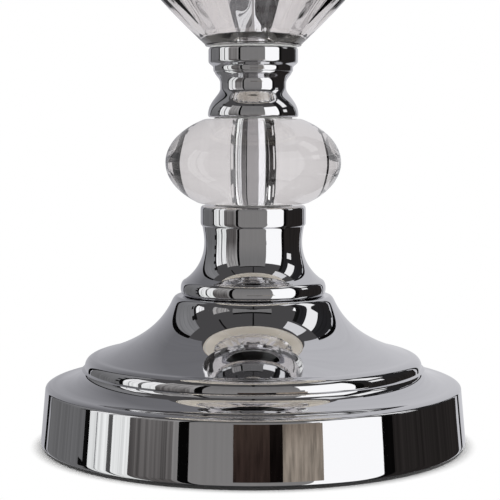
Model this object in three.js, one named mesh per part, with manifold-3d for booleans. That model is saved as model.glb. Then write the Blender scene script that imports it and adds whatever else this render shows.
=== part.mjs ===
// Table lamp: a weighted chrome foot, a solid glass ball between two turned chrome necks,
// a fluted glass urn, a switched screw lampholder with its bulb, and a tapered drum shade.
// Millimetres, +Z up. The origin is the centre of the foot pad's underside, and -Y is the front.
// Everything from the foot to the lampholder is threaded on one hollow rod, with a nut at each end.

import * as THREE from "three";
import { mergeVertices } from "three/addons/utils/BufferGeometryUtils.js";
import Module from "manifold-3d";

const wasm = await Module();
wasm.setup();

// Facets round each turned piece
const FACETS_LARGE = 36;
const FACETS_MEDIUM = 24;
const FACETS_SMALL = 18;
const FACETS_TINY = 12;

// Clearances
const RUNNING_GAP = 0.3; // between a piece and what it lies beside
const BORE_GAP = 0.3; // round the rod and the tubes, on the radius

// Hollow rod with a fine thread, and its nuts
const rodRadius = 5;
const rodBore = 3.9;
const nutAcrossFlats = 14;
const nutThickness = 3.4;
const washerThickness = 1;
const washerRadius = 9.5;
const rodPastNut = 0.6;

// Foot: pad, cast weight and spun shell
const footRadius = 79.4;
const padThickness = 1.1;
const rimRoll = 0.7;
const rimTaper = 1.75;
const rimHeight = 22.1;
const rimShoulder = 3.65; // how far the rounded shoulder goes in, and how far down
const rimShoulderDrop = 1.8;
const coveHeight = 5.1;
const beadRadius = 64.1;
const beadLean = 1;
const beadHeight = 4.9;
const beadCorner = 4.4;
const flareHeight = 22.3;
const shoulderRadius = 30.4;
const shoulderCorner = 1.9;
const shellWall = 1.4;
const topSlope = 0.06; // rise over run where a rounded corner ends
const weightInset = 6; // from the rim's upper edge in to the weight
const weightThickness = 9;
const weightRingWidth = 6;
const nutPocketRadius = 12;
const nutPocketDepth = 5;

// Cord outlet at the back of the foot
const cordBore = 3.6;
const bushingWall = 1.4;
const bushingFlange = 1.2;
const bushingFlangeDepth = 1.6;
const bushingLength = 9;
const outletHeight = 9.4; // centre of the outlet above the table

// Lower neck
const neckRingRadius = 27.05;
const neckRingHeight = 5.4;
const neckRingCorner = 1.3;
const waistRadius = 18.3;
const waistHeight = 20; // from the neck's seat to the narrowest place
const collarRadius = 19.9;
const collarHeight = 6.2;
const collarRise = 7.5; // from the narrowest place up to the collar
const collarCorner = 1;
const neckWall = 2.7;

// Glass ball, its sleeve and its two clear washers
const ballRadius = 32.7;
const ballHeight = 31.4;
const ballFootRadius = 20;
const ballFaceRadius = 18;
const sleeveWall = 0.7;
const gasketThickness = 0.6;
const gasketMargin = 1.2; // how far a washer stays inside the face that it lies on

// Upper neck
const domeRadius = 16.8;
const domeCorner = 1;
const domeHeight = 10.7;
const throatRadius = 12.25;
const throatHeight = 1.8;
const neckBeadRadius = 14.85;
const neckBeadRise = 4.2;
const neckBeadHeight = 1.8;
const cupRadius = 16.6;
const cupRise = 2.2;
const cupHeight = 4.9;
const cupCorner = 0.9;

// Fluted glass urn
const urnFootRadius = 17.9;
const urnFootRound = 0.7;
const urnRadius = 66;
const urnBellyHeight = 68; // from the urn's foot to its widest place
const urnShoulderHeight = 56; // from there up to its neck
const urnNeckRadius = 22.5;
const urnNeckHeight = 8;
const urnWall = 5;
const urnFloor = 5.5;
const fluteCount = 20;
const fluteDepth = 0.9;
const fluteFade = 14; // height over which the flutes die out at either end

// Cap on the urn and the small spacer above it
const capOverhang = 2;
const capEdge = 3;
const capEdgeRound = 1;
const capHeight = 15.4;
const capCrownRadius = 9;
const spigotDepth = 4;
const spacerRadius = 10.5;
const spacerEndRadius = 7.5;
const spacerHeight = 12;

// Lampholder for a bulb with a 27 mm screw cap, with a turning switch
const holderRadius = 20;
const holderCupHeight = 18;
const holderCupCurve = 12;
const holderWall = 1.2;
const holderTubeRadius = 19.3;
const holderTubeHeight = 36;
const switchRadius = 12.5;
const switchHeight = 10;
const porcelainHeight = 11;
const terminalRadius = 1.7;
const terminalHeight = 2.6;
const terminalSpacing = 30;
const screwShellRadius = 14.2;
const screwShellWall = 0.7;
const screwShellHeight = 24;
const insulatorSetback = 1; // from the tube's mouth down to the insulating sleeve
const contactLength = 14;
const contactWidth = 5;
const contactGauge = 0.6;
const contactRise = 3;

// Switch key
const spindleRadius = 2;
const knobRadius = 5.6;
const knobTipRadius = 5;
const knobLength = 11;
const knobEndWall = 2;
const knobRibs = 12;
const knobRibDepth = 0.7;
const knobStandoff = 1.2; // from the cup's side to the knob

// Bulb
const bulbCapRadius = 13;
const bulbCapHeight = 23;
const bulbGlassRadius = 30;
const bulbGlassHeight = 78;
const bulbNeckRadius = 14.4;
const bulbTipHeight = 4.6;
const bulbTipRadius = 4.8;
const bulbInsulatorInset = 2; // from the cap's edge in to the insulator

// Shade, its wire frame and the two rings that hold it
const shadeBottomRadius = 140;
const shadeTopRadius = 96;
const shadeHeight = 187;
const shadeDrop = 25; // from the fitter down to the shade's lower edge
const shadeThickness = 1.2;
const trimWidth = 8;
const trimThickness = 0.6;
const frameWire = 1.5; // radius of the wire
const armWire = 1.3;
const armCount = 3;
const armFlat = 12; // length of an arm's level stretch at either end
const armDip = 1; // how far an arm still falls over its last level stretch
const fitterWidth = 7;
const fitterThickness = 1.9;
const shadeRingWidth = 6.4;
const shadeRingHeight = 6;
const shadeRingLobes = 10;
const shadeRingLobeDepth = 1.1;
const shadeRingOffset = 5.4; // from the cup's rim up to the lower ring

// Outlines

// An outline in the plane of radius and height, drawn up the outside and back down the inside.
class Outline {
  constructor(r, z) {
    this.points = [new THREE.Vector2(r, z)];
  }

  line(r, z) {
    this.points.push(new THREE.Vector2(r, z));
    return this;
  }

  // A rounded corner: leaves towards the corner point and arrives from it.
  bend(cornerR, cornerZ, r, z, steps = 3) {
    const corner = new THREE.Vector2(cornerR, cornerZ);
    const curve = new THREE.QuadraticBezierCurve(this.points.at(-1), corner, new THREE.Vector2(r, z));
    this.points.push(...curve.getPoints(steps).slice(1));
    return this;
  }

  // A sweep to (r, z). leave and arrive are its handles, as shares of the sweep's run and rise.
  sweep(r, z, leave, arrive, steps = 6) {
    const start = this.points.at(-1);
    const end = new THREE.Vector2(r, z);
    const span = end.clone().sub(start);
    const first = start.clone().add(span.clone().multiply(new THREE.Vector2(...leave)));
    const second = end.clone().sub(span.clone().multiply(new THREE.Vector2(...arrive)));
    const curve = new THREE.CubicBezierCurve(start, first, second, end);
    this.points.push(...curve.getPoints(steps).slice(1));
    return this;
  }

  follow(points) {
    this.points.push(...points);
    return this;
  }

  close() {
    this.points.push(this.points[0].clone());
    return this.points;
  }
}

// The inside of a wall: the outline moved in by the wall's thickness, drawn back the other way.
function insideOf(points, wall) {
  const moved = points.map((point, i) => {
    const before = points[Math.max(i - 1, 0)];
    const after = points[Math.min(i + 1, points.length - 1)];
    const along = after.clone().sub(before).normalize();
    return new THREE.Vector2(point.x - along.y * wall, point.y + along.x * wall);
  });
  const tolerance = 0.97;
  const clear = moved.filter((point) => distanceTo(points, point) > wall * tolerance);
  return clear.reverse();
}

// Every second point, which is enough for a face that is seen only from inside
function thinned(points) {
  return points.filter((point, i) => i % 2 === 0 || i === points.length - 1);
}

function distanceTo(points, point) {
  const from = new THREE.Vector3(point.x, point.y, 0);
  const nearest = new THREE.Vector3();
  let least = Infinity;
  for (let i = 1; i < points.length; i += 1) {
    const start = new THREE.Vector3(points[i - 1].x, points[i - 1].y, 0);
    const end = new THREE.Vector3(points[i].x, points[i].y, 0);
    new THREE.Line3(start, end).closestPointToPoint(from, true, nearest);
    least = Math.min(least, nearest.distanceTo(from));
  }
  return least;
}

// The height at which an outline that falls or rises with the radius passes a given radius
function heightAt(points, radius) {
  const i = points.findIndex((point, k) => k > 0 && (point.x - radius) * (points[k - 1].x - radius) <= 0);
  const [a, b] = [points[i - 1], points[i]];
  const share = (radius - a.x) / (b.x - a.x);
  return a.y + share * (b.y - a.y);
}

// Geometry

function turned(points, facets) {
  return new THREE.LatheGeometry(points, facets).rotateX(Math.PI / 2);
}

// Presses upright grooves into the outside of a turned piece. Its outline's first points are that outside,
// and its last point is the first one again.
function grooved(geometry, pointCount, outsideCount, count, depthAt) {
  const position = geometry.getAttribute("position");
  for (let i = 0; i < position.count; i += 1) {
    if ((i % pointCount) % (pointCount - 1) >= outsideCount) continue;
    const [x, y, z] = [position.getX(i), position.getY(i), position.getZ(i)];
    const wave = (1 - Math.cos(count * Math.atan2(y, x))) / 2;
    const radius = Math.hypot(x, y);
    const share = (radius - depthAt(z) * wave) / radius;
    position.setXY(i, x * share, y * share);
  }
  return geometry;
}

// A flat ring, or a sleeve: the same outline with other proportions
function ring(inner, outer, bottom, top, facets = FACETS_SMALL) {
  const points = new Outline(inner, bottom).line(outer, bottom).line(outer, top).line(inner, top).close();
  return turned(points, facets);
}

function disc(radius, bottom, top, facets = FACETS_SMALL) {
  const outline = new Outline(0, bottom).line(radius, bottom).line(radius, top).line(0, top);
  return turned(outline.points, facets);
}

// A flat outline with a round hole, extruded upwards from a height
function plate(shape, holeRadius, bottom, height) {
  const hole = new THREE.Path();
  hole.absarc(0, 0, holeRadius, 0, 2 * Math.PI, true);
  shape.holes.push(hole);
  const settings = { depth: height, bevelEnabled: false, curveSegments: FACETS_SMALL / 2 };
  return new THREE.ExtrudeGeometry(shape, settings).translate(0, 0, bottom);
}

// A closed outline whose radius depends on the angle
function roundShape(radiusAt, count) {
  const angles = Array.from({ length: count }, (_, i) => (2 * Math.PI * i) / count);
  const points = angles.map((a) => new THREE.Vector2(Math.cos(a), Math.sin(a)).multiplyScalar(radiusAt(a)));
  return new THREE.Shape(points);
}

function hexNut(bottom) {
  const corners = 6;
  const cornerRadius = nutAcrossFlats / 2 / Math.cos(Math.PI / corners);
  return plate(roundShape(() => cornerRadius, corners), boreRadius, bottom, nutThickness);
}

function toSolid(geometry) {
  const bare = geometry.clone();
  bare.deleteAttribute("normal");
  bare.deleteAttribute("uv");
  const merged = mergeVertices(bare);
  const mesh = new wasm.Mesh({
    numProp: 3,
    vertProperties: merged.attributes.position.array,
    triVerts: new Uint32Array(merged.index.array),
  });
  return new wasm.Manifold(mesh);
}

function toGeometry(solid) {
  const { vertProperties, triVerts } = solid.getMesh();
  const geometry = new THREE.BufferGeometry();
  geometry.setAttribute("position", new THREE.BufferAttribute(vertProperties, 3));
  geometry.setIndex(new THREE.BufferAttribute(triVerts, 1));
  geometry.computeVertexNormals();
  return geometry;
}

function cut(geometry, tool) {
  return toGeometry(toSolid(geometry).subtract(toSolid(tool)));
}

// A round bar along +X
function barAlongX(radius, from, to, height, sides = FACETS_SMALL) {
  const bar = new THREE.CylinderGeometry(radius, radius, to - from, sides).rotateZ(-Math.PI / 2);
  return bar.translate((from + to) / 2, 0, height);
}

// Heights of the stack, from the table up
const shellFoot = padThickness;
const rimTop = shellFoot + rimHeight;
const beadFoot = rimTop + coveHeight;
const beadTop = beadFoot + beadHeight;
const shellTop = beadTop + flareHeight;
const neckFoot = shellTop;
const waistLevel = neckFoot + waistHeight;
const collarFoot = waistLevel + collarRise;
const neckTop = collarFoot + collarHeight;
const ballFoot = neckTop + gasketThickness;
const ballTop = ballFoot + ballHeight;
const upperFoot = ballTop + gasketThickness;
const throatFoot = upperFoot + domeHeight;
const throatTop = throatFoot + throatHeight;
const neckBeadFoot = throatTop + neckBeadRise;
const cupFoot = neckBeadFoot + neckBeadHeight + cupRise;
const upperTop = cupFoot + cupHeight;
const urnBottom = upperTop + gasketThickness;
const urnBelly = urnBottom + urnBellyHeight;
const urnNeckFoot = urnBelly + urnShoulderHeight;
const urnTop = urnNeckFoot + urnNeckHeight;
const capFoot = urnTop + gasketThickness;
const capTop = capFoot + capHeight;
const spacerTop = capTop + spacerHeight;
const cupRim = spacerTop + holderCupHeight;
const topNutFoot = spacerTop + holderWall;
const topNutTop = topNutFoot + nutThickness;
const switchTop = topNutTop + switchHeight;
const porcelainTop = switchTop + porcelainHeight;
const tubeTop = cupRim + holderTubeHeight;
const lowerRingFoot = cupRim + shadeRingOffset;
const fitterFoot = lowerRingFoot + shadeRingHeight + RUNNING_GAP;
const fitterTop = fitterFoot + fitterThickness;
const upperRingFoot = fitterTop + RUNNING_GAP;
const shadeFoot = fitterFoot - shadeDrop;
const shadeTop = shadeFoot + shadeHeight;
const contactTop = porcelainTop + contactRise;
const bulbCapFoot = contactTop + bulbTipHeight;
const bulbGlassFoot = bulbCapFoot + bulbCapHeight;
const pocketTop = shellFoot + nutPocketDepth;
const washerFoot = pocketTop - washerThickness;
const bottomNutFoot = washerFoot - nutThickness;
const spindleLevel = (topNutTop + switchTop) / 2;

// Widths that several pieces share
const boreRadius = rodRadius + BORE_GAP;
const sleeveInner = boreRadius;
const sleeveRadius = sleeveInner + sleeveWall;
const glassBore = sleeveRadius + BORE_GAP;
const rimTopRadius = footRadius - rimTaper;
const weightRadius = rimTopRadius - weightInset;
const urnOpening = urnNeckRadius - urnWall;
const cordOuter = cordBore + bushingWall;

// Foot

function footPad() {
  return disc(footRadius - rimRoll, 0, padThickness, FACETS_LARGE);
}

// The spun shell's outside: rolled edge, tapered rim, cove, bead and flare, up to its flat seat
function shellOutside() {
  const cove = { leave: [0.5, 0.12], arrive: [0, 0.38] };
  const flare = { leave: [0.37, 0.16], arrive: [0.2, 0.6] };
  const beadFace = beadRadius - beadLean;
  const beadRise = beadCorner * topSlope;
  return new Outline(footRadius - rimRoll, shellFoot)
    .bend(footRadius, shellFoot, footRadius, shellFoot + 2 * rimRoll, 2)
    .line(rimTopRadius, rimTop - rimShoulderDrop)
    .bend(rimTopRadius, rimTop - rimShoulder * topSlope, rimTopRadius - rimShoulder, rimTop)
    .sweep(beadRadius, beadFoot, cove.leave, cove.arrive, 3)
    .line(beadFace, beadTop - beadCorner)
    .bend(beadFace, beadTop - beadRise, beadFace - beadCorner, beadTop, 2)
    .sweep(shoulderRadius, shellTop - shoulderCorner, flare.leave, flare.arrive, 6)
    .bend(shoulderRadius - shoulderCorner / 2, shellTop, shoulderRadius - shoulderCorner, shellTop, 2);
}

function shellInside() {
  return thinned(insideOf(shellOutside().points, shellWall));
}

function baseShell() {
  const outside = shellOutside();
  const inside = shellInside();
  const web = inside[0];
  const points = outside
    .line(boreRadius, shellTop)
    .line(boreRadius, web.y)
    .follow(inside)
    .line(inside.at(-1).x, shellFoot)
    .close();
  const outlet = atOutlet(disc(cordOuter + RUNNING_GAP, -bushingLength, bushingLength));
  return cut(turned(points, FACETS_LARGE), outlet);
}

// The cast weight: a plate whose raised ring holds the shell from inside, with a slot for the cord
function castWeight() {
  const ringTop = heightAt(shellInside(), weightRadius) - RUNNING_GAP;
  const plateTop = shellFoot + weightThickness;
  const ringInner = weightRadius - weightRingWidth;
  const points = new Outline(boreRadius, pocketTop)
    .line(nutPocketRadius, pocketTop)
    .line(nutPocketRadius, shellFoot)
    .line(weightRadius, shellFoot)
    .line(weightRadius, ringTop)
    .line(ringInner, ringTop)
    .line(ringInner, plateTop)
    .line(boreRadius, plateTop)
    .close();
  const slotTop = outletHeight + cordOuter + bushingFlange + RUNNING_GAP;
  const slotWidth = 2 * (cordOuter + RUNNING_GAP);
  const slot = new THREE.BoxGeometry(slotWidth, footRadius, 2 * (slotTop - shellFoot));
  slot.translate(0, nutPocketRadius - RUNNING_GAP + footRadius / 2, shellFoot);
  return cut(turned(points, FACETS_LARGE), slot);
}

// Turns a piece that stands on its own axis to face out of the rim's back, square to its slope
function atOutlet(geometry) {
  const sideFoot = shellFoot + 2 * rimRoll;
  const slope = rimTaper / (rimTop - rimShoulderDrop - sideFoot);
  const radius = footRadius - slope * (outletHeight - sideFoot);
  return geometry.rotateX(Math.atan(slope) - Math.PI / 2).translate(0, radius, outletHeight);
}

// The bushing that lines the cord's hole: a sleeve with a flange outside the rim
function cordBushing() {
  const flangeRadius = cordOuter + bushingFlange;
  const outer = bushingFlangeDepth + RUNNING_GAP;
  const inner = outer - bushingLength;
  const points = new Outline(cordBore, inner)
    .line(cordOuter, inner)
    .line(cordOuter, RUNNING_GAP)
    .line(flangeRadius, RUNNING_GAP)
    .line(flangeRadius, outer)
    .line(cordBore, outer)
    .close();
  return atOutlet(turned(points, FACETS_SMALL));
}

// Lower neck: a hollow casting with a ring at its foot, a waist and a collar that carries the ball

function lowerNeck() {
  const toWaist = { leave: [0.42, 0.15], arrive: [0, 0.52] };
  const toCollar = { leave: [0, 0.4], arrive: [0.4, 0.35] };
  const ringTop = neckFoot + neckRingHeight;
  const ringEdge = neckRingRadius - neckRingCorner;
  const collarEdge = collarRadius - collarCorner;
  const cavity = waistRadius - neckWall;
  const points = new Outline(ringEdge - neckWall, neckFoot)
    .line(ringEdge, neckFoot)
    .bend(neckRingRadius, neckFoot, neckRingRadius, neckFoot + neckRingCorner, 2)
    .line(neckRingRadius, ringTop - neckRingCorner)
    .bend(neckRingRadius, ringTop, ringEdge, ringTop + neckRingCorner / 3, 2)
    .sweep(waistRadius, waistLevel, toWaist.leave, toWaist.arrive, 5)
    .sweep(collarRadius, collarFoot, toCollar.leave, toCollar.arrive, 3)
    .line(collarRadius, neckTop - collarCorner)
    .bend(collarRadius, neckTop, collarEdge, neckTop, 2)
    .line(boreRadius, neckTop)
    .line(boreRadius, collarFoot)
    .line(cavity, collarFoot)
    .line(cavity, ringTop + 2 * neckWall)
    .line(ringEdge - neckWall, ringTop - neckWall)
    .close();
  return turned(points, FACETS_MEDIUM);
}

// Glass ball, flattened and cut flat at both ends, on its chrome sleeve

function glassBall() {
  const footAngle = Math.acos(ballFootRadius / ballRadius);
  const faceAngle = Math.acos(ballFaceRadius / ballRadius);
  const halfHeight = ballHeight / (Math.sin(footAngle) + Math.sin(faceAngle));
  const middle = ballFoot + halfHeight * Math.sin(footAngle);
  const steps = 10;
  const side = Array.from({ length: steps + 1 }, (_, i) => {
    const angle = (faceAngle * i - footAngle * (steps - i)) / steps;
    return new THREE.Vector2(ballRadius * Math.cos(angle), middle + halfHeight * Math.sin(angle));
  });
  const points = new Outline(glassBore, ballFoot).follow(side).line(glassBore, ballTop).close();
  return turned(points, FACETS_MEDIUM);
}

// Both washers lie inside the smallest of the faces that they part
function ballWasher(foot) {
  const face = Math.min(ballFootRadius, ballFaceRadius, domeRadius - domeCorner);
  return ring(glassBore, face - gasketMargin, foot, foot + gasketThickness);
}

function ballSleeve() {
  return ring(sleeveInner, sleeveRadius, neckTop, upperFoot);
}

// Upper neck: a dome over the ball, a throat, a bead and the cup that carries the urn

function upperNeck() {
  const toThroat = { leave: [0, 0.5], arrive: [0, 0.25] };
  const toBead = { leave: [0, 0.49], arrive: [0.05, 0.3] };
  const toCup = { leave: [0.19, 0.37], arrive: [0, 0.5] };
  const beadFootRadius = neckBeadRadius - domeCorner / 2;
  const points = new Outline(boreRadius, upperFoot)
    .line(domeRadius - domeCorner, upperFoot)
    .bend(domeRadius, upperFoot, domeRadius, upperFoot + domeCorner, 2)
    .sweep(throatRadius, throatFoot, toThroat.leave, toThroat.arrive, 5)
    .line(throatRadius, throatTop)
    .sweep(beadFootRadius, neckBeadFoot, toBead.leave, toBead.arrive, 3)
    .bend(neckBeadRadius, neckBeadFoot, neckBeadRadius, neckBeadFoot + neckBeadHeight, 2)
    .sweep(cupRadius, cupFoot, toCup.leave, toCup.arrive, 2)
    .line(cupRadius, upperTop - cupCorner)
    .bend(cupRadius, upperTop, cupRadius - cupCorner, upperTop, 2)
    .line(boreRadius, upperTop)
    .close();
  return turned(points, FACETS_SMALL);
}

// Fluted glass urn: a thick foot, a bowl that opens to its belly, a shoulder and a neck

function urnOutside() {
  const bowl = { leave: [0.25, 0.16], arrive: [0, 0.3] };
  const shoulder = { leave: [0, 0.55], arrive: [0, 0.4] };
  return new Outline(urnFootRadius - urnFootRound, urnBottom)
    .line(urnFootRadius, urnBottom + urnFootRound)
    .sweep(urnRadius, urnBelly, bowl.leave, bowl.arrive, 6)
    .sweep(urnNeckRadius, urnNeckFoot, shoulder.leave, shoulder.arrive, 5)
    .line(urnNeckRadius, urnTop);
}

function glassUrn() {
  const outside = urnOutside();
  const outsideCount = outside.points.length;
  const floor = urnBottom + urnFloor;
  const inUrn = (point) => point.y > floor && point.y < urnTop;
  const inside = insideOf(outside.points, urnWall).filter(inUrn);
  const points = outside
    .line(urnOpening, urnTop)
    .follow(thinned(inside))
    .line(inside.at(-1).x - urnWall / 2, floor)
    .line(glassBore, floor)
    .line(glassBore, urnBottom)
    .close();
  const stepsPerFlute = 3;
  const urn = turned(points, fluteCount * stepsPerFlute);
  const fluted = grooved(urn, points.length, outsideCount, fluteCount, fluteDepthAt);
  return fluted.rotateZ(Math.PI / fluteCount); // a groove faces the front
}

// The flutes die out at the urn's foot and at its neck
function fluteDepthAt(z) {
  const rise = THREE.MathUtils.smoothstep(z, urnBottom + urnFootRound, urnBottom + fluteFade);
  const fall = 1 - THREE.MathUtils.smoothstep(z, urnNeckFoot - fluteFade, urnNeckFoot);
  return fluteDepth * rise * fall;
}

function urnFootWasher() {
  return ring(glassBore, urnFootRadius - gasketMargin, upperTop, urnBottom);
}

function urnNeckWasher() {
  return ring(urnOpening + BORE_GAP, urnNeckRadius - BORE_GAP, urnTop, capFoot);
}

function urnSleeve() {
  return ring(sleeveInner, sleeveRadius, upperTop, capFoot - spigotDepth);
}

// Chrome cap: a spigot that centres in the urn's neck, a rolled edge and an ogee crown

function urnCap() {
  const crown = { leave: [0.5, 0.05], arrive: [0.15, 0.6] };
  const edge = urnNeckRadius + capOverhang;
  const spigot = urnOpening - RUNNING_GAP;
  const spigotFoot = capFoot - spigotDepth;
  const edgeTop = capFoot + capEdge;
  const points = new Outline(boreRadius, spigotFoot)
    .line(spigot, spigotFoot)
    .line(spigot, capFoot)
    .line(edge - capEdgeRound, capFoot)
    .bend(edge, capFoot, edge, capFoot + capEdge / 2, 2)
    .bend(edge, edgeTop, edge - capEdge / 2, edgeTop, 2)
    .sweep(capCrownRadius, capTop, crown.leave, crown.arrive, 5)
    .line(boreRadius, capTop)
    .close();
  return turned(points, FACETS_SMALL);
}

function neckSpacer() {
  const round = { leave: [0.9, 0.15], arrive: [0, 0.5] };
  const middle = (capTop + spacerTop) / 2;
  const points = new Outline(boreRadius, capTop)
    .line(spacerEndRadius, capTop)
    .sweep(spacerRadius, middle, round.leave, round.arrive, 3)
    .sweep(spacerEndRadius, spacerTop, round.arrive, round.leave, 3)
    .line(boreRadius, spacerTop)
    .close();
  return turned(points, FACETS_SMALL);
}

// Lampholder

function holderCup() {
  const flare = { leave: [0.75, 0.1], arrive: [0, 0.55] };
  const curveTop = spacerTop + holderCupCurve;
  const foot = spacerEndRadius + holderWall;
  const outside = new Outline(foot, spacerTop)
    .sweep(holderRadius, curveTop, flare.leave, flare.arrive, 4)
    .line(holderRadius, cupRim);
  const inCup = (point) => point.y > topNutFoot && point.y < cupRim;
  const inside = insideOf(outside.points, holderWall).filter(inCup);
  const points = outside
    .line(holderRadius - holderWall, cupRim)
    .follow(inside)
    .line(foot + holderWall, topNutFoot)
    .line(boreRadius, topNutFoot)
    .line(boreRadius, spacerTop)
    .close();
  const holeRadius = spindleRadius + RUNNING_GAP;
  const hole = barAlongX(holeRadius, switchRadius, holderRadius + holderWall, spindleLevel);
  return cut(turned(points, FACETS_SMALL), hole);
}

function holderTube() {
  return ring(holderTubeRadius - holderWall, holderTubeRadius, cupRim, tubeTop);
}

function switchBody() {
  return ring(boreRadius, switchRadius, topNutTop, switchTop);
}

function porcelainCore() {
  return disc(holderTubeRadius - holderWall - RUNNING_GAP, switchTop, porcelainTop);
}

function terminalScrew(side) {
  const screw = disc(terminalRadius, switchTop - terminalHeight, switchTop, FACETS_TINY);
  return screw.translate(0, (side * terminalSpacing) / 2, 0);
}

function screwShell() {
  const shellTopEdge = porcelainTop + screwShellHeight;
  return ring(screwShellRadius - screwShellWall, screwShellRadius, porcelainTop, shellTopEdge);
}

function insulatingSleeve() {
  const outer = holderTubeRadius - holderWall - RUNNING_GAP;
  return ring(screwShellRadius + RUNNING_GAP, outer, porcelainTop, tubeTop - insulatorSetback);
}

// A bent brass tongue under the bulb's tip
function centreContact() {
  const half = contactLength / 2;
  const profile = new THREE.Shape();
  profile.moveTo(-half, 0);
  profile.lineTo(0, 0);
  profile.lineTo(0, contactGauge);
  profile.lineTo(-half + 2 * contactGauge, contactGauge);
  profile.lineTo(0, contactRise - contactGauge);
  profile.lineTo(half / 2, contactRise - contactGauge);
  profile.lineTo(half / 2, contactRise);
  profile.lineTo(-contactGauge, contactRise);
  profile.lineTo(-half, contactGauge);
  profile.closePath();
  const strip = new THREE.ExtrudeGeometry(profile, { depth: contactWidth, bevelEnabled: false });
  return strip.translate(0, 0, -contactWidth / 2).rotateX(Math.PI / 2).translate(0, 0, porcelainTop);
}

function switchSpindle() {
  const end = holderRadius + knobStandoff + knobLength - knobEndWall - RUNNING_GAP;
  return barAlongX(spindleRadius, switchRadius + RUNNING_GAP, end, spindleLevel, FACETS_TINY);
}

function switchKnob() {
  const bore = spindleRadius + RUNNING_GAP / 2;
  const boreEnd = knobLength - knobEndWall;
  const outside = new Outline(knobRadius, 0).line(knobTipRadius, knobLength);
  const outsideCount = outside.points.length;
  const points = outside.line(0, knobLength).line(0, boreEnd).line(bore, boreEnd).line(bore, 0).close();
  const plain = turned(points, 2 * knobRibs);
  const knob = grooved(plain, points.length, outsideCount, knobRibs, () => knobRibDepth);
  return knob.rotateY(Math.PI / 2).translate(holderRadius + knobStandoff, 0, spindleLevel);
}

// Bulb

function bulbTip() {
  const middle = contactTop + bulbTipHeight / 2;
  const rim = contactTop + bulbTipHeight / 3;
  const outline = new Outline(0, contactTop)
    .line(bulbTipRadius / 2, contactTop)
    .line(bulbTipRadius, rim)
    .line(bulbTipRadius, middle)
    .line(0, middle);
  return turned(outline.points, FACETS_SMALL);
}

function bulbInsulator() {
  const foot = contactTop + bulbTipHeight / 2;
  const edge = bulbCapRadius - bulbInsulatorInset;
  const outline = new Outline(0, foot).line(bulbTipRadius, foot).line(edge, bulbCapFoot).line(0, bulbCapFoot);
  return turned(outline.points, FACETS_SMALL);
}

function bulbCap() {
  return disc(bulbCapRadius, bulbCapFoot, bulbGlassFoot);
}

function bulbGlass() {
  const neck = { leave: [0, 0.4], arrive: [0, 0.5] };
  const centre = bulbGlassFoot + bulbGlassHeight - bulbGlassRadius;
  const outside = new Outline(0, bulbGlassFoot)
    .line(bulbNeckRadius, bulbGlassFoot)
    .sweep(bulbGlassRadius, centre, neck.leave, neck.arrive, 5);
  const steps = 4;
  for (let i = 1; i <= steps; i += 1) {
    const angle = (Math.PI / 2) * (i / steps);
    outside.line(bulbGlassRadius * Math.cos(angle), centre + bulbGlassRadius * Math.sin(angle));
  }
  outside.points.at(-1).x = 0;
  return turned(outside.points, FACETS_SMALL);
}

// Shade

function shadeRadiusAt(z) {
  const taper = (shadeBottomRadius - shadeTopRadius) / shadeHeight;
  return shadeBottomRadius - taper * (z - shadeFoot);
}

// A band of the shade's cone between two heights, from one distance outside its face to another
function coneBand(bottom, top, inner, outer) {
  const points = new Outline(shadeRadiusAt(bottom) + inner, bottom)
    .line(shadeRadiusAt(bottom) + outer, bottom)
    .line(shadeRadiusAt(top) + outer, top)
    .line(shadeRadiusAt(top) + inner, top)
    .close();
  return turned(points, FACETS_LARGE);
}

function shadeSkin() {
  return coneBand(shadeFoot, shadeTop, -shadeThickness, 0);
}

function shadeTrim(bottom) {
  return coneBand(bottom, bottom + trimWidth, RUNNING_GAP, RUNNING_GAP + trimThickness);
}

// A wire hoop against the inside of the shade's skin
function hoopRadius(level) {
  return shadeRadiusAt(level + frameWire) - shadeThickness - RUNNING_GAP - frameWire;
}

function shadeHoop(level) {
  const sides = 5;
  const hoop = new THREE.TorusGeometry(hoopRadius(level), frameWire, sides, FACETS_LARGE);
  return hoop.rotateZ(-Math.PI / 2).translate(0, 0, level);
}

function fitterRing() {
  const inner = holderTubeRadius + RUNNING_GAP;
  return ring(inner, inner + fitterWidth, fitterFoot, fitterTop);
}

// An arm of the frame: level beside the fitter, then down to the lower hoop
function shadeArm(angle) {
  const fitterEdge = holderTubeRadius + RUNNING_GAP + fitterWidth;
  const level = (fitterFoot + fitterTop) / 2;
  const hoopLevel = shadeFoot + frameWire + RUNNING_GAP;
  const hoopSide = (hoopRadius(hoopLevel) - frameWire) * Math.cos(Math.PI / FACETS_LARGE) - armWire;
  const start = fitterEdge + RUNNING_GAP;
  const path = new THREE.CatmullRomCurve3([
    new THREE.Vector3(start, 0, level),
    new THREE.Vector3(start + armFlat, 0, level),
    new THREE.Vector3(hoopSide - armFlat, 0, hoopLevel + armDip),
    new THREE.Vector3(hoopSide + armWire - RUNNING_GAP, 0, hoopLevel),
  ]);
  const section = roundShape(() => armWire, 6);
  const arm = new THREE.ExtrudeGeometry(section, { steps: 8, extrudePath: path });
  return arm.rotateZ(angle);
}

function shadeRing(bottom) {
  const outer = holderTubeRadius + RUNNING_GAP + shadeRingWidth;
  const lobe = (angle) => outer - (shadeRingLobeDepth * (1 - Math.cos(shadeRingLobes * angle))) / 2;
  const shape = roundShape(lobe, shadeRingLobes * 4);
  return plate(shape, holderTubeRadius + RUNNING_GAP, bottom, shadeRingHeight);
}

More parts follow.
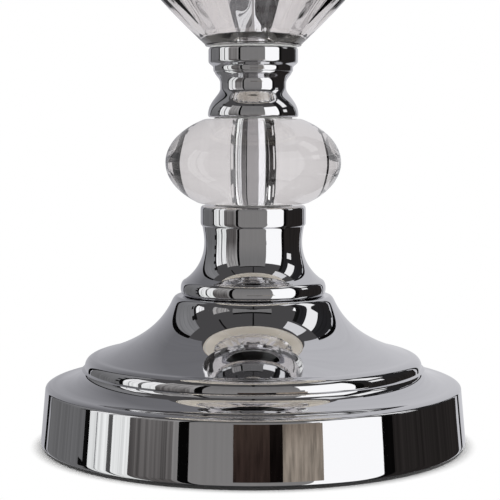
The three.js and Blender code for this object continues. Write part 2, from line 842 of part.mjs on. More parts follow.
// Materials
const chrome = new THREE.MeshStandardMaterial({ color: 0xc9c9cc, metalness: 1, roughness: 0.04 });
const steel = new THREE.MeshStandardMaterial({ color: 0x9a9a9c, metalness: 1, roughness: 0.35 });
const castIron = new THREE.MeshStandardMaterial({ color: 0x2e2e30, metalness: 0.4, roughness: 0.8 });
const brass = new THREE.MeshStandardMaterial({ color: 0xb8964a, metalness: 1, roughness: 0.3 });
const glass = new THREE.MeshStandardMaterial({ color: 0xf2f3f2, roughness: 0.02 });
glass.transparent = true;
glass.opacity = 0.35;
const clearPlastic = new THREE.MeshStandardMaterial({ color: 0xdadada, roughness: 0.3 });
const blackFelt = new THREE.MeshStandardMaterial({ color: 0x131313, roughness: 0.95 });
const blackPlastic = new THREE.MeshStandardMaterial({ color: 0x1a1a1b, roughness: 0.45 });
const porcelain = new THREE.MeshStandardMaterial({ color: 0xefece4, roughness: 0.3 });
const opal = new THREE.MeshStandardMaterial({ color: 0xf7f5ee, roughness: 0.4 });
const aluminium = new THREE.MeshStandardMaterial({ color: 0xb9babd, metalness: 1, roughness: 0.3 });
const linen = new THREE.MeshStandardMaterial({ color: 0xefe7da, roughness: 0.9 });
const whitePaint = new THREE.MeshStandardMaterial({ color: 0xeceae6, roughness: 0.5 });

const lamp = new THREE.Group();

function add(group, name, geometry, material) {
  const mesh = new THREE.Mesh(geometry, material);
  mesh.name = name;
  group.add(mesh);
}

// Foot
const foot = new THREE.Group();
add(foot, "foot_pad", footPad(), blackFelt);
add(foot, "base_shell", baseShell(), chrome);
add(foot, "cast_weight", castWeight(), castIron);
add(foot, "cord_bushing", cordBushing(), blackPlastic);
add(foot, "bottom_nut", hexNut(bottomNutFoot), steel);
add(foot, "bottom_washer", ring(boreRadius, washerRadius, washerFoot, pocketTop), steel);

// Stem
const stem = new THREE.Group();
const rodFoot = bottomNutFoot + rodPastNut;
const rodTop = topNutTop + rodPastNut;
add(stem, "threaded_rod", ring(rodBore, rodRadius, rodFoot, rodTop), steel);
add(stem, "lower_neck", lowerNeck(), chrome);
add(stem, "ball_washer_lower", ballWasher(neckTop), clearPlastic);
add(stem, "glass_ball", glassBall(), glass);
add(stem, "ball_sleeve", ballSleeve(), chrome);
add(stem, "ball_washer_upper", ballWasher(ballTop), clearPlastic);
add(stem, "upper_neck", upperNeck(), chrome);
add(stem, "urn_washer_lower", urnFootWasher(), clearPlastic);
add(stem, "glass_urn", glassUrn(), glass);
add(stem, "urn_sleeve", urnSleeve(), chrome);
add(stem, "urn_washer_upper", urnNeckWasher(), clearPlastic);
add(stem, "urn_cap", urnCap(), chrome);
add(stem, "neck_spacer", neckSpacer(), chrome);

// Lampholder
const holder = new THREE.Group();
add(holder, "top_nut", hexNut(topNutFoot), steel);
add(holder, "holder_cup", holderCup(), chrome);
add(holder, "holder_tube", holderTube(), chrome);
add(holder, "switch_body", switchBody(), blackPlastic);
add(holder, "porcelain_core", porcelainCore(), porcelain);
add(holder, "terminal_screw_front", terminalScrew(-1), brass);
add(holder, "terminal_screw_back", terminalScrew(1), brass);
add(holder, "insulating_sleeve", insulatingSleeve(), porcelain);
add(holder, "screw_shell", screwShell(), brass);
add(holder, "centre_contact", centreContact(), brass);
add(holder, "switch_spindle", switchSpindle(), brass);
add(holder, "switch_knob", switchKnob(), blackPlastic);

// Bulb
const bulb = new THREE.Group();
add(bulb, "bulb_tip", bulbTip(), steel);
add(bulb, "bulb_insulator", bulbInsulator(), blackPlastic);
add(bulb, "bulb_cap", bulbCap(), aluminium);
add(bulb, "bulb_glass", bulbGlass(), opal);

// Shade
const shade = new THREE.Group();
const hoopInset = frameWire + RUNNING_GAP;
add(shade, "shade_ring_lower", shadeRing(lowerRingFoot), blackPlastic);
add(shade, "shade_ring_upper", shadeRing(upperRingFoot), blackPlastic);
add(shade, "shade_fitter", fitterRing(), whitePaint);
for (let i = 0; i < armCount; i += 1) {
  add(shade, `shade_arm_${i + 1}`, shadeArm(Math.PI / 2 + (2 * Math.PI * i) / armCount), whitePaint);
}
add(shade, "shade_hoop_lower", shadeHoop(shadeFoot + hoopInset), whitePaint);
add(shade, "shade_hoop_upper", shadeHoop(shadeTop - hoopInset), whitePaint);
add(shade, "shade_skin", shadeSkin(), linen);
add(shade, "shade_trim_lower", shadeTrim(shadeFoot), linen);
add(shade, "shade_trim_upper", shadeTrim(shadeTop - trimWidth), linen);

lamp.add(foot, stem, holder, bulb, shade);

export default lamp;
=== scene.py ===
import bisect
import math

import bmesh
import bpy
from mathutils import Matrix, Vector, noise
from mathutils.geometry import interpolate_bezier, intersect_point_line


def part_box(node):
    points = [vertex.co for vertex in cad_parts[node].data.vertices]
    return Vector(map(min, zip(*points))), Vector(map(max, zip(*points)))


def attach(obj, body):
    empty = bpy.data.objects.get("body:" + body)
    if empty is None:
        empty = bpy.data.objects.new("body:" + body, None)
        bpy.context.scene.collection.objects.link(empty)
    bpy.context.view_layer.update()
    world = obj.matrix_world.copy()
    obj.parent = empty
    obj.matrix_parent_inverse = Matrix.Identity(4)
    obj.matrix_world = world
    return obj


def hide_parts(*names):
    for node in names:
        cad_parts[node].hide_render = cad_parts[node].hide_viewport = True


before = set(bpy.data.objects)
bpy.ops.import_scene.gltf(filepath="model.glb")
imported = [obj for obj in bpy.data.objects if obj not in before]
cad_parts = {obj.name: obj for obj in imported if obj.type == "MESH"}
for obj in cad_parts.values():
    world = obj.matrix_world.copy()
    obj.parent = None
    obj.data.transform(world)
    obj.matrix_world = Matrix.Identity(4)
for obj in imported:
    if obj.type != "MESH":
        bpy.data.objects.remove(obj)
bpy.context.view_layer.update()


# Foot pad. A disc of dense black felt, die cut a little smaller than the foot's rolled edge and
# glued under it, so that the lamp doesn't scratch the table. Its cut edge is slightly furry.
MM = 0.001


def straight(outline, end, hold=0.3):
    """Carries an outline of (radius, height) points, in mm, straight on. A point held near each end
    keeps the shading flat between them."""
    start, end = Vector(outline[-1]), Vector(end)
    step = (end - start).normalized() * hold
    if (end - start).length > 3 * hold:
        outline += [tuple(start + step), tuple(end - step)]
    outline.append(tuple(end))


def bend(outline, corner, end, steps=8):
    """A rounded corner: leaves towards the corner point and arrives from it."""
    start, corner, end = Vector(outline[-1]), Vector(corner), Vector(end)
    reach = 2 / 3
    points = interpolate_bezier(start, start.lerp(corner, reach), end.lerp(corner, reach), end, steps + 1)
    outline += [tuple(point) for point in points[1:]]


def heal(bm):
    """Merges doubled points, as at a pole, and turns the faces outwards."""
    bmesh.ops.remove_doubles(bm, verts=bm.verts, dist=MM / 500)
    bmesh.ops.recalc_face_normals(bm, faces=bm.faces)


def turn(outline, steps=192):
    """Spins an outline once round the lamp's axis."""
    bm = bmesh.new()
    verts = [bm.verts.new((radius * MM, 0, height * MM)) for radius, height in outline]
    edges = [bm.edges.new(pair) for pair in zip(verts, verts[1:])]
    once_round = {"axis": (0, 0, 1), "angle": math.tau, "steps": steps, "use_merge": True}
    bmesh.ops.spin(bm, geom=verts + edges, cent=(0, 0, 0), **once_round)
    heal(bm)
    return bm


def press(bm, depth_at):
    """Presses a turned piece in towards its axis. depth_at(radius, angle, height) is in mm."""
    for vertex in bm.verts:
        x, y, z = vertex.co / MM
        radius = math.hypot(x, y)
        if radius > 0:
            share = 1 - depth_at(radius, math.atan2(y, x), z) / radius
            vertex.co.x *= share
            vertex.co.y *= share


def to_object(bm, name, *finishes, sharp=32):
    """Makes an object of a bmesh: smooth, but with its steep edges kept sharp."""
    mesh = bpy.data.meshes.new(name)
    bm.to_mesh(mesh)
    bm.free()
    mesh.shade_smooth()
    mesh.set_sharp_from_angle(angle=math.radians(sharp))
    for finish in finishes:
        mesh.materials.append(finish)
    piece = bpy.data.objects.new(name, mesh)
    bpy.context.scene.collection.objects.link(piece)
    return piece


def hex_colour(code):
    """An sRGB hex colour as the linear values that a shader takes."""
    shares = [int(code[i : i + 2], 16) / 255 for i in (1, 3, 5)]
    return (*[c / 12.92 if c <= 0.04045 else ((c + 0.055) / 1.055) ** 2.4 for c in shares], 1)


def new_material(name):
    material = bpy.data.materials.new(name)
    material.use_nodes = True
    material.node_tree.nodes.clear()
    return material, material.node_tree


def add(tree, kind, sockets=None, **settings):
    """Adds a node with its sockets' values, or the nodes that feed them, and its settings."""
    node = tree.nodes.new("ShaderNode" + kind)
    for key, value in settings.items():
        setattr(node, key, value)
    for key, value in (sockets or {}).items():
        if isinstance(value, bpy.types.Node):
            value = value.outputs[0]
        if isinstance(value, bpy.types.NodeSocket):
            tree.links.new(value, node.inputs[key])
        else:
            node.inputs[key].default_value = value
    return node


def per_mm(size):
    """The scale that gives a noise spots of that size, in mm."""
    return 1 / (size * MM)


def mottled(name, spots, detail, dark, light, roughness=0.5):
    """A new material whose tint wanders between two colours, in spots of that size, in mm."""
    material, tree = new_material(name)
    place = add(tree, "TexCoord").outputs["Object"]
    look = {"Vector": place, "Scale": per_mm(spots), "Detail": detail, "Roughness": roughness}
    pattern = add(tree, "TexNoise", look)
    tint = add(tree, "ValToRGB", {"Fac": pattern})
    tint.color_ramp.elements[0].color = hex_colour(dark)
    tint.color_ramp.elements[1].color = hex_colour(light)
    return material, tree, pattern, tint


# Pressed wool felt: no gloss at all, and a surface of short matted fibres. They are 0.02 mm thick
# and too fine to show, so the matting is drawn in clumps of half a millimetre.
black_felt, tree, clumps, tint = mottled("pressed_wool_felt", 0.5, 4, "#0c0c0c", "#262525", 0.7)
nap = add(tree, "Bump", {"Height": clumps, "Distance": 0.3 * MM})
matted = {"Base Color": tint, "Roughness": 0.95, "Normal": nap, "Sheen Weight": 0.3, "Sheen Roughness": 0.6}
felt_shader = add(tree, "BsdfPrincipled", matted)
add(tree, "OutputMaterial", {"Surface": felt_shader})

pad_edge, pad_top = 78.7, 1.1
felt = [(0, 0)]
straight(felt, (pad_edge - 0.5, 0))
bend(felt, (pad_edge, 0), (pad_edge, 0.4), 4)
straight(felt, (pad_edge, pad_top - 0.3))
bend(felt, (pad_edge, pad_top), (pad_edge - 0.3, pad_top), 4)
straight(felt, (0, pad_top))
fur_start, fur_size, fur_depth = 78, 1.4, 0.2


def fur(radius, angle, height):
    """Shallow uneven tufts, on the cut edge alone."""
    tuft = noise.noise(Vector((radius * angle, height, 0)) / fur_size)
    return fur_depth * abs(tuft) if radius > fur_start else 0


bm = turn(felt, 240)
press(bm, fur)
felt_pad = to_object(bm, "felt_pad", black_felt, sharp=60)
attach(felt_pad, "root")
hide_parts("foot_pad")


# Cast weight, nut and washer. A sand-cast iron plate in black lacquer gives the foot its weight,
# and a zinc-plated nut and washer in its pocket clamp the rod. All three stay as the CAD made them.
def dress(node, material):
    """Gives a CAD node its material and leaves its mesh alone."""
    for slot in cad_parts[node].material_slots:
        slot.material = material


# Sand-cast iron under thin black lacquer: dull, with the sand's grain of about 0.8 mm.
cast_iron, tree, grain, tint = mottled("lacquered_sand_cast_iron", 0.8, 5, "#161617", "#38373a", 0.65)
pits = add(tree, "Bump", {"Height": grain, "Distance": 0.2 * MM})
iron_shader = add(tree, "BsdfPrincipled", {"Base Color": tint, "Roughness": 0.55, "Normal": pits})
add(tree, "OutputMaterial", {"Surface": iron_shader})

# Zinc-plated steel: a grey metal, half matt, with faint cloudy patches left by the plating bath.
zinc_steel, tree, clouds, tint = mottled("zinc_plated_steel", 4, 3, "#a2a5ab", "#bcbab2")
dullness = add(tree, "MapRange", {"Value": clouds, "To Min": 0.26, "To Max": 0.42})
zinc_shader = add(tree, "BsdfPrincipled", {"Base Color": tint, "Metallic": 1.0, "Roughness": dullness})
add(tree, "OutputMaterial", {"Surface": zinc_shader})

dress("cast_weight", cast_iron)
dress("bottom_nut", zinc_steel)
dress("bottom_washer", zinc_steel)


# Foot shell. One disc of 1.4 mm steel spun over a former: rolled edge, tapered rim, cove, bead and
# a flare up to the flat seat of the neck. It is polished, then chromed, and drilled for the cord.
def sweep(outline, end, leave, arrive, steps=28):
    """A sweep whose handles are given as shares of its run and its rise."""
    start, end = Vector(outline[-1]), Vector(end)
    span = end - start
    first = start + span * Vector(leave)
    second = end - span * Vector(arrive)
    points = interpolate_bezier(start, first, second, end, steps + 1)
    outline += [tuple(point) for point in points[1:]]


def inside_of(outline, wall):
    """The inside of a wall: the outline moved in by the wall's thickness, drawn back the other way.
    Points that would come too near the outside, as in a tight corner, are left out."""
    nearest_share = 0.97
    inside = []
    for i, point in enumerate(outline):
        along = Vector(outline[min(i + 1, len(outline) - 1)]) - Vector(outline[max(i - 1, 0)])
        along.normalize()
        moved = Vector((point[0] - along.y * wall, point[1] + along.x * wall))
        clear = True
        for start, end in zip(outline, outline[1:]):
            nearest, share = intersect_point_line(moved, Vector(start), Vector(end))
            if 0 <= share <= 1 and (Vector(nearest[:2]) - moved).length < nearest_share * wall:
                clear = False
        if clear:
            inside.append(tuple(moved))
    return inside[::-1]


def drill(piece, width, start, end):
    """Drills a hole of that width, in mm, from one point to another."""
    start, end = Vector(start) * MM, Vector(end) * MM
    bm = bmesh.new()
    length = (end - start).length
    radius = width / 2 * MM
    bmesh.ops.create_cone(bm, cap_ends=True, segments=64, radius1=radius, radius2=radius, depth=length)
    turned = (end - start).to_track_quat("Z", "Y").to_matrix().to_4x4()
    bmesh.ops.transform(bm, matrix=Matrix.Translation((start + end) / 2) @ turned, verts=bm.verts)
    bit = to_object(bm, "drill_bit")
    hole = piece.modifiers.new("hole", "BOOLEAN")
    hole.operation = "DIFFERENCE"
    hole.solver = "EXACT"
    hole.object = bit
    bpy.context.view_layer.update()
    drilled = piece.evaluated_get(bpy.context.evaluated_depsgraph_get())
    solid, drilled = piece.data, bpy.data.meshes.new_from_object(drilled)
    piece.modifiers.clear()
    piece.data = drilled
    bpy.data.meshes.remove(solid)
    bpy.data.objects.remove(bit)


# Bright chrome plate over polished metal: a cool mirror, a little uneven where it was buffed, with
# the faint haze that wiping leaves. Sheet keeps long shallow waves, and castings shorter ones.
def chrome_plate(name, wave_length, wave_height):
    material, tree = new_material(name)
    place = add(tree, "TexCoord").outputs["Object"]
    buffing = add(tree, "TexNoise", {"Vector": place, "Scale": per_mm(wave_length), "Detail": 1})
    waves = add(tree, "Bump", {"Height": buffing, "Distance": wave_height * MM})
    smears = {"Vector": place, "Scale": per_mm(9), "Detail": 6, "Roughness": 0.7}
    wiping = add(tree, "TexNoise", smears)
    haze = add(tree, "MapRange", {"Value": wiping, "From Min": 0.4, "To Min": 0.015, "To Max": 0.06})
    mirror = {"Base Color": hex_colour("#d6d6d8"), "Metallic": 1.0, "Roughness": haze, "Normal": waves}
    shader = add(tree, "BsdfPrincipled", mirror)
    add(tree, "OutputMaterial", {"Surface": shader})
    return material


chrome = chrome_plate("bright_chrome_on_spun_steel", 20, 0.03)
cast_chrome = chrome_plate("bright_chrome_on_buffed_casting", 7, 0.012)

rod_hole, sheet, shell_top = 5.3, 1.4, 55.5
rim_wide, rim_narrow, rim_foot, rim_top = 79.4, 77.65, 2.5, 21.4
shell = [(pad_edge, pad_top)]
bend(shell, (rim_wide, pad_top), (rim_wide, rim_foot))
straight(shell, (rim_narrow, rim_top))
bend(shell, (rim_narrow, 22.98), (74, 23.2), 14)
sweep(shell, (64.1, 28.3), (0.5, 0.12), (0, 0.38), 24)
straight(shell, (63.1, 28.8))
bend(shell, (63.1, 32.94), (58.7, 33.2), 14)
sweep(shell, (30.4, 53.6), (0.37, 0.16), (0.2, 0.6), 44)
bend(shell, (29.45, shell_top), (28.5, shell_top))
lining = inside_of(shell, sheet)
straight(shell, (rod_hole, shell_top))
shell += [(rod_hole, lining[0][1]), *lining, (lining[-1][0], pad_top), shell[0]]
spun_shell = to_object(turn(shell, 256), "spun_shell", chrome)
rim_slope = (rim_wide - rim_narrow) / (rim_top - rim_foot)
outlet_level, outlet_width = 9.4, 10.6
outlet_lean = math.atan(rim_slope)
outlet = Vector((0, rim_wide - (outlet_level - rim_foot) * rim_slope, outlet_level))
outward = Vector((0, math.cos(outlet_lean), math.sin(outlet_lean)))
drill(spun_shell, outlet_width, outlet - outward * 9, outlet + outward * 9)
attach(spun_shell, "root")
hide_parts("base_shell")


# Cord bushing. A moulded black grommet that snaps into the hole at the back of the rim and keeps
# the steel's edge off the cord. It is a sleeve with a rounded flange, square to the rim's slope.

# Moulded nylon: nearly black, half gloss, with the fine spark-eroded grain of its mould.
black_nylon, tree, worn, tint = mottled("moulded_black_nylon", 5, 4, "#141415", "#222123")
place = add(tree, "TexCoord").outputs["Object"]
grain = add(tree, "TexNoise", {"Vector": place, "Scale": per_mm(0.35), "Detail": 3})
gloss = add(tree, "MapRange", {"Value": worn, "To Min": 0.34, "To Max": 0.5})
skin = add(tree, "Bump", {"Height": grain, "Distance": 0.02 * MM})
nylon_shader = add(tree, "BsdfPrincipled", {"Base Color": tint, "Roughness": gloss, "Normal": skin})
add(tree, "OutputMaterial", {"Surface": nylon_shader})

bushing = [(3.6, -6.5)]
bend(bushing, (3.6, -7.1), (4.1, -7.1), 4)
straight(bushing, (4.7, -7.1))
bend(bushing, (5, -7.1), (5, -6.8), 3)
straight(bushing, (5, 0.25))
straight(bushing, (5.9, 0.25))
bend(bushing, (6.2, 0.25), (6.2, 0.6), 3)
bend(bushing, (6.2, 1.9), (4.9, 1.9), 8)
bend(bushing, (3.6, 1.9), (3.6, 0.6), 8)
straight(bushing, bushing[0])
bm = turn(bushing, 72)
facing_out = Matrix.Translation(outlet * MM) @ Matrix.Rotation(outlet_lean - math.pi / 2, 4, "X")
bmesh.ops.transform(bm, matrix=facing_out, verts=bm.verts)
grommet = to_object(bm, "cord_grommet", black_nylon, sharp=50)
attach(grommet, "root")
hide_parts("cord_bushing")


# Threaded rod. A hollow steel rod that carries the cord and clamps every piece of the stem. Its
# fine thread has a pitch of 1 mm. It is hidden from end to end, and stays as the CAD made it.
def bands_per_mm(spacing):
    """The scale that lays a wave texture's bands that far apart, in mm. At scale 1 they lie a
    twentieth of tau apart."""
    return math.tau / (20 * spacing * MM)


thread_steel, tree, _, tint = mottled("rolled_thread_steel", 6, 3, "#8d8e91", "#a9a8a4")
place = add(tree, "TexCoord").outputs["Object"]
pitch = 1.0
thread = add(tree, "TexWave", {"Vector": place, "Scale": bands_per_mm(pitch)}, bands_direction="Z")
flanks = add(tree, "Bump", {"Height": thread, "Distance": 0.4 * MM})
threaded = {"Base Color": tint, "Metallic": 1.0, "Roughness": 0.33, "Normal": flanks}
rod_shader = add(tree, "BsdfPrincipled", threaded)
add(tree, "OutputMaterial", {"Surface": rod_shader})
dress("threaded_rod", thread_steel)


# Lower neck. A hollow zinc casting, turned and chromed like the shell: a rounded ring at its foot,
# a waist, and a collar whose flat top carries the glass ball.
neck_top, neck_bore = 89.2, 15.6
collar_radius, collar_round = 19.65, 1.6
lower_neck = [(23.05, shell_top)]
straight(lower_neck, (25.4, shell_top))
bend(lower_neck, (27.15, 55.6), (27.15, 58.1), 12)
bend(lower_neck, (27.15, 60.8), (25.6, 61.38), 12)
sweep(lower_neck, (18.3, 75.5), (0.42, 0.15), (0, 0.52), 36)
sweep(lower_neck, (18.9, 81), (0, 0.4), (0.5, 0.35), 20)
bend(lower_neck, (19, 81.5), (19.2, 81.6), 4)
bend(lower_neck, (collar_radius, 81.8), (collar_radius, 83), 6)
straight(lower_neck, (collar_radius, neck_top - collar_round))
bend(lower_neck, (collar_radius, neck_top), (18.1, neck_top))
straight(lower_neck, (rod_hole, neck_top))
lower_neck += [(rod_hole, 83), (neck_bore, 83), (neck_bore, 66.3), (23.05, 58.2), lower_neck[0]]
cast_neck = to_object(turn(lower_neck), "cast_lower_neck", cast_chrome)
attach(cast_neck, "root")
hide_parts("lower_neck")


# Glass ball, with the two clear washers that keep it off the metal. The ball is pressed lead-free
# crystal, flattened and ground flat at both ends, with a hole for the rod's chromed sleeve.

# Soft PVC, punched from clear sheet that is cloudy through and through: milky, with a soft gloss.
clear_pvc, tree = new_material("punched_clear_pvc")
place = add(tree, "TexCoord").outputs["Object"]
cloud = add(tree, "TexNoise", {"Vector": place, "Scale": per_mm(2), "Detail": 2})
cloudy = add(tree, "MapRange", {"Value": cloud, "To Min": 0.12, "To Max": 0.3})
milky = {"Base Color": hex_colour("#f3f4f2"), "Roughness": cloudy, "IOR": 1.46, "Transmission Weight": 0.35}
pvc_shader = add(tree, "BsdfPrincipled", milky)
add(tree, "OutputMaterial", {"Surface": pvc_shader})

# Pressed and fire-polished glass: clear and colourless, with a skin that waves very slightly, as
# the mould and the flame leave it (about 14 mm from wave to wave).
clear_glass, tree = new_material("pressed_clear_glass")
place = add(tree, "TexCoord").outputs["Object"]
flow = add(tree, "TexNoise", {"Vector": place, "Scale": per_mm(14), "Detail": 1, "Distortion": 0.4})
flame_polish = add(tree, "Bump", {"Height": flow, "Distance": 0.12 * MM})
clear = {"Base Color": hex_colour("#fdfcfd"), "Roughness": 0.0, "IOR": 1.51, "Transmission Weight": 1.0}
glass_shader = add(tree, "BsdfPrincipled", {**clear, "Normal": flame_polish})
add(tree, "OutputMaterial", {"Surface": glass_shader})

bore, washer_thickness = 6.3, 0.6
ball_foot, ball_top = neck_top + washer_thickness, 121.2
urn_seat, urn_lip = 147.4, 280
for name, node, inner, outer, foot in (
    ("clear_washer_under_ball", "ball_washer_lower", bore, 14.6, neck_top),
    ("clear_washer_over_ball", "ball_washer_upper", bore, 14.6, ball_top),
    ("clear_washer_under_urn", "urn_washer_lower", bore, 16.2, urn_seat),
    ("clear_washer_over_urn", "urn_washer_upper", 17.8, 22.2, urn_lip),
):
    top = foot + washer_thickness
    washer = [(inner, foot), (outer - 0.2, foot)]
    bend(washer, (outer + 0.1, (foot + top) / 2), (outer - 0.2, top), 6)
    washer += [(inner, top), (inner, foot)]
    clear_washer = to_object(turn(washer, 96), name, clear_pvc)
    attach(clear_washer, "root")
    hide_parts(node)

ball_radius, foot_face, top_face, ground_edge = 32.7, 20, 18, 0.35
foot_angle, top_angle = math.acos(foot_face / ball_radius), math.acos(top_face / ball_radius)
half_height = (ball_top - ball_foot) / (math.sin(foot_angle) + math.sin(top_angle))
ball_middle = ball_foot + half_height * math.sin(foot_angle)
ball = [(bore, ball_foot), (foot_face - ground_edge, ball_foot)]
rows = 64
for i in range(1, rows):
    angle = (foot_angle + top_angle) * i / rows - foot_angle
    ball.append((ball_radius * math.cos(angle), ball_middle + half_height * math.sin(angle)))
ball += [(top_face - ground_edge, ball_top), (bore, ball_top), (bore, ball_foot)]
glass_ball = to_object(turn(ball), "pressed_glass_ball", clear_glass)
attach(glass_ball, "root")
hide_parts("glass_ball")


# Sleeves. Two lengths of thin chromed tube over the rod, one in the ball and one in the urn, so
# that a clean bright tube shows through the glass in place of the thread.
upper_neck_foot, cap_foot = ball_top + washer_thickness, 276.6
sleeve_radius, burr = 6, 0.2
for name, node, foot, top in (
    ("sleeve_in_ball", "ball_sleeve", neck_top, upper_neck_foot),
    ("sleeve_in_urn", "urn_sleeve", urn_seat, cap_foot),
):
    sleeve = [(rod_hole, foot), (sleeve_radius - burr, foot), (sleeve_radius, foot + burr)]
    straight(sleeve, (sleeve_radius, top - burr))
    sleeve += [(sleeve_radius - burr, top), (rod_hole, top), (rod_hole, foot)]
    chromed_sleeve = to_object(turn(sleeve, 96), name, chrome)
    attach(chromed_sleeve, "root")
    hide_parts(node)


# Upper neck. A second turned and chromed casting: a dome that covers the ball's upper face, a
# narrow throat, a bead, and the cup that the urn's foot stands in.
dome_radius, throat_radius, cup_radius = 16.8, 12.25, 16.6
upper_neck = [(rod_hole, upper_neck_foot)]
straight(upper_neck, (dome_radius - 1, upper_neck_foot))
bend(upper_neck, (dome_radius, upper_neck_foot), (dome_radius, upper_neck_foot + 1))
sweep(upper_neck, (throat_radius, 132.5), (0, 0.5), (0, 0.25), 30)
straight(upper_neck, (throat_radius, 134.3))
sweep(upper_neck, (14.35, 138.5), (0, 0.49), (0.05, 0.3), 16)
bend(upper_neck, (14.85, 138.5), (14.85, 140.3))
sweep(upper_neck, (cup_radius, 142.5), (0.19, 0.37), (0, 0.5), 12)
straight(upper_neck, (cup_radius, urn_seat - 0.9))
bend(upper_neck, (cup_radius, urn_seat), (cup_radius - 0.9, urn_seat))
straight(upper_neck, (rod_hole, urn_seat))
upper_neck.append(upper_neck[0])
turned_neck = to_object(turn(upper_neck), "turned_upper_neck", cast_chrome)
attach(turned_neck, "root")
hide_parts("upper_neck")


# Glass urn. Clear glass blown into a fluted mould: a thick foot with the rod's hole, a bowl that
# opens to its belly, a shoulder and a short neck. The flutes are outside only, and die out at
# either end. The inside is smooth and a few millimetres away.
urn_foot, urn_belly, urn_shoulder = urn_seat + washer_thickness, 216, 272
urn_wall, urn_floor, urn_neck = 5, 153.5, 22.5
flutes, flute_depth, flute_fade = 20, 0.9, 14
urn_outside = [(17.2, urn_foot)]
bend(urn_outside, (17.9, urn_foot), (17.9, urn_foot + 0.7), 5)
sweep(urn_outside, (66, urn_belly), (0.25, 0.16), (0, 0.3), 48)
sweep(urn_outside, (urn_neck, urn_shoulder), (0, 0.55), (0, 0.4), 48)
straight(urn_outside, (urn_neck, urn_lip - 0.6))
bend(urn_outside, (urn_neck, urn_lip), (urn_neck - 0.6, urn_lip), 5)
urn_lining = inside_of(urn_outside[:-5], urn_wall)
urn_lining = [(radius, height) for radius, height in urn_lining if urn_floor + 0.5 < height < urn_lip - 1]
urn_mouth = urn_lining[0][0]
urn = list(urn_outside)
straight(urn, (urn_mouth + 0.4, urn_lip))
bend(urn, (urn_mouth, urn_lip), (urn_mouth, urn_lip - 0.4), 4)
urn += urn_lining
floor_edge = urn_lining[-1][0]
bend(urn, (floor_edge - 0.4, urn_floor), (floor_edge - 1, urn_floor), 5)
straight(urn, (bore, urn_floor))
straight(urn, (bore, urn_foot))
straight(urn, urn[0])
urn_heights = [height for radius, height in urn_outside]


def smoothstep(value, start, end):
    """0 before start and 1 after end, with a soft rise between them."""
    share = min(max((value - start) / (end - start), 0), 1)
    return share * share * (3 - 2 * share)


def urn_flute(radius, angle, height):
    """Rounded lobes with a narrow groove between each two, on the outside alone. One groove
    faces the front."""
    level = min(bisect.bisect_left(urn_heights, height), len(urn_outside) - 1)
    if radius < urn_outside[level][0] - urn_wall / 2:
        return 0
    rise = smoothstep(height, urn_foot + 0.7, urn_foot + flute_fade)
    fall = 1 - smoothstep(height, urn_shoulder - flute_fade, urn_shoulder)
    return flute_depth * rise * fall * (1 - abs(math.sin(flutes * angle / 2)))


bm = turn(urn, flutes * 14)
press(bm, urn_flute)
glass_urn = to_object(bm, "fluted_glass_urn", clear_glass)
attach(glass_urn, "root")
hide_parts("glass_urn")


# Urn cap and spacer. Two more turned and chromed pieces: the cap's spigot centres in the urn's
# neck and its rolled edge covers the lip, and the spacer lifts the lampholder clear of it.
spigot_radius, cap_edge, cap_rim = 17.2, urn_lip + washer_thickness, 24.5
cap_top, spacer_top = 296, 308
cap = [(rod_hole, cap_foot), (spigot_radius, cap_foot)]
straight(cap, (spigot_radius, cap_edge))
straight(cap, (cap_rim - 1, cap_edge))
bend(cap, (cap_rim, cap_edge), (cap_rim, cap_edge + 1.5), 6)
bend(cap, (cap_rim, cap_edge + 3), (cap_rim - 1.5, cap_edge + 3), 6)
sweep(cap, (9, cap_top), (0.5, 0.05), (0.15, 0.6), 36)
cap += [(rod_hole, cap_top), (rod_hole, cap_foot)]
spacer = [(rod_hole, cap_top), (7.5, cap_top)]
sweep(spacer, (10.5, (cap_top + spacer_top) / 2), (0.9, 0.15), (0, 0.5), 14)
sweep(spacer, (7.5, spacer_top), (0, 0.5), (0.9, 0.15), 14)
spacer += [(rod_hole, spacer_top), (rod_hole, cap_top)]
for name, node, outline in (("turned_urn_cap", "urn_cap", cap), ("turned_spacer", "neck_spacer", spacer)):
    fitting = to_object(turn(outline), name, cast_chrome)
    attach(fitting, "root")
    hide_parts(node)


# Lampholder, outside. A drawn and chromed cup on the rod's top nut, with a hole for the switch's
# spindle, and a chromed tube on it whose rolled thread takes the two shade rings.
cup_wall, cup_wide, cup_mouth = 1.2, 20, 326
cup_floor = spacer_top + cup_wall
cup = [(8.7, spacer_top)]
sweep(cup, (cup_wide, 320), (0.75, 0.1), (0, 0.55), 28)
straight(cup, (cup_wide, cup_mouth - 0.6))
bend(cup, (cup_wide, cup_mouth), (cup_wide - 0.6, cup_mouth), 5)
cup_lining = [point for point in inside_of(cup[:-6], cup_wall) if point[1] > cup_floor]
cup += [(cup_wide - cup_wall, cup_mouth), *cup_lining, (9.9, cup_floor), (rod_hole, cup_floor)]
cup += [(rod_hole, spacer_top), cup[0]]
drawn_cup = to_object(turn(cup), "drawn_holder_cup", chrome)
spindle_level, spindle_hole = 317.6, 4.6
drill(drawn_cup, spindle_hole, (13, 0, spindle_level), (24, 0, spindle_level))

tube_crest, tube_root, tube_bore, tube_foot, tube_mouth = 19.3, 18.85, 18.1, cup_mouth, 362
tube_pitch, tube_thread = 2.5, (328, 352)
tube = [(tube_bore, tube_foot), (tube_crest, tube_foot)]
rows_per_turn = 10
rows = round((tube_mouth - tube_foot - 1) / tube_pitch * rows_per_turn)
tube += [(tube_crest, tube_foot + (tube_mouth - tube_foot - 1) * i / rows) for i in range(1, rows + 1)]
bend(tube, (tube_crest, tube_mouth), (18.7, tube_mouth), 5)
bend(tube, (tube_bore, tube_mouth), (tube_bore, tube_mouth - 0.6), 5)
tube.append(tube[0])


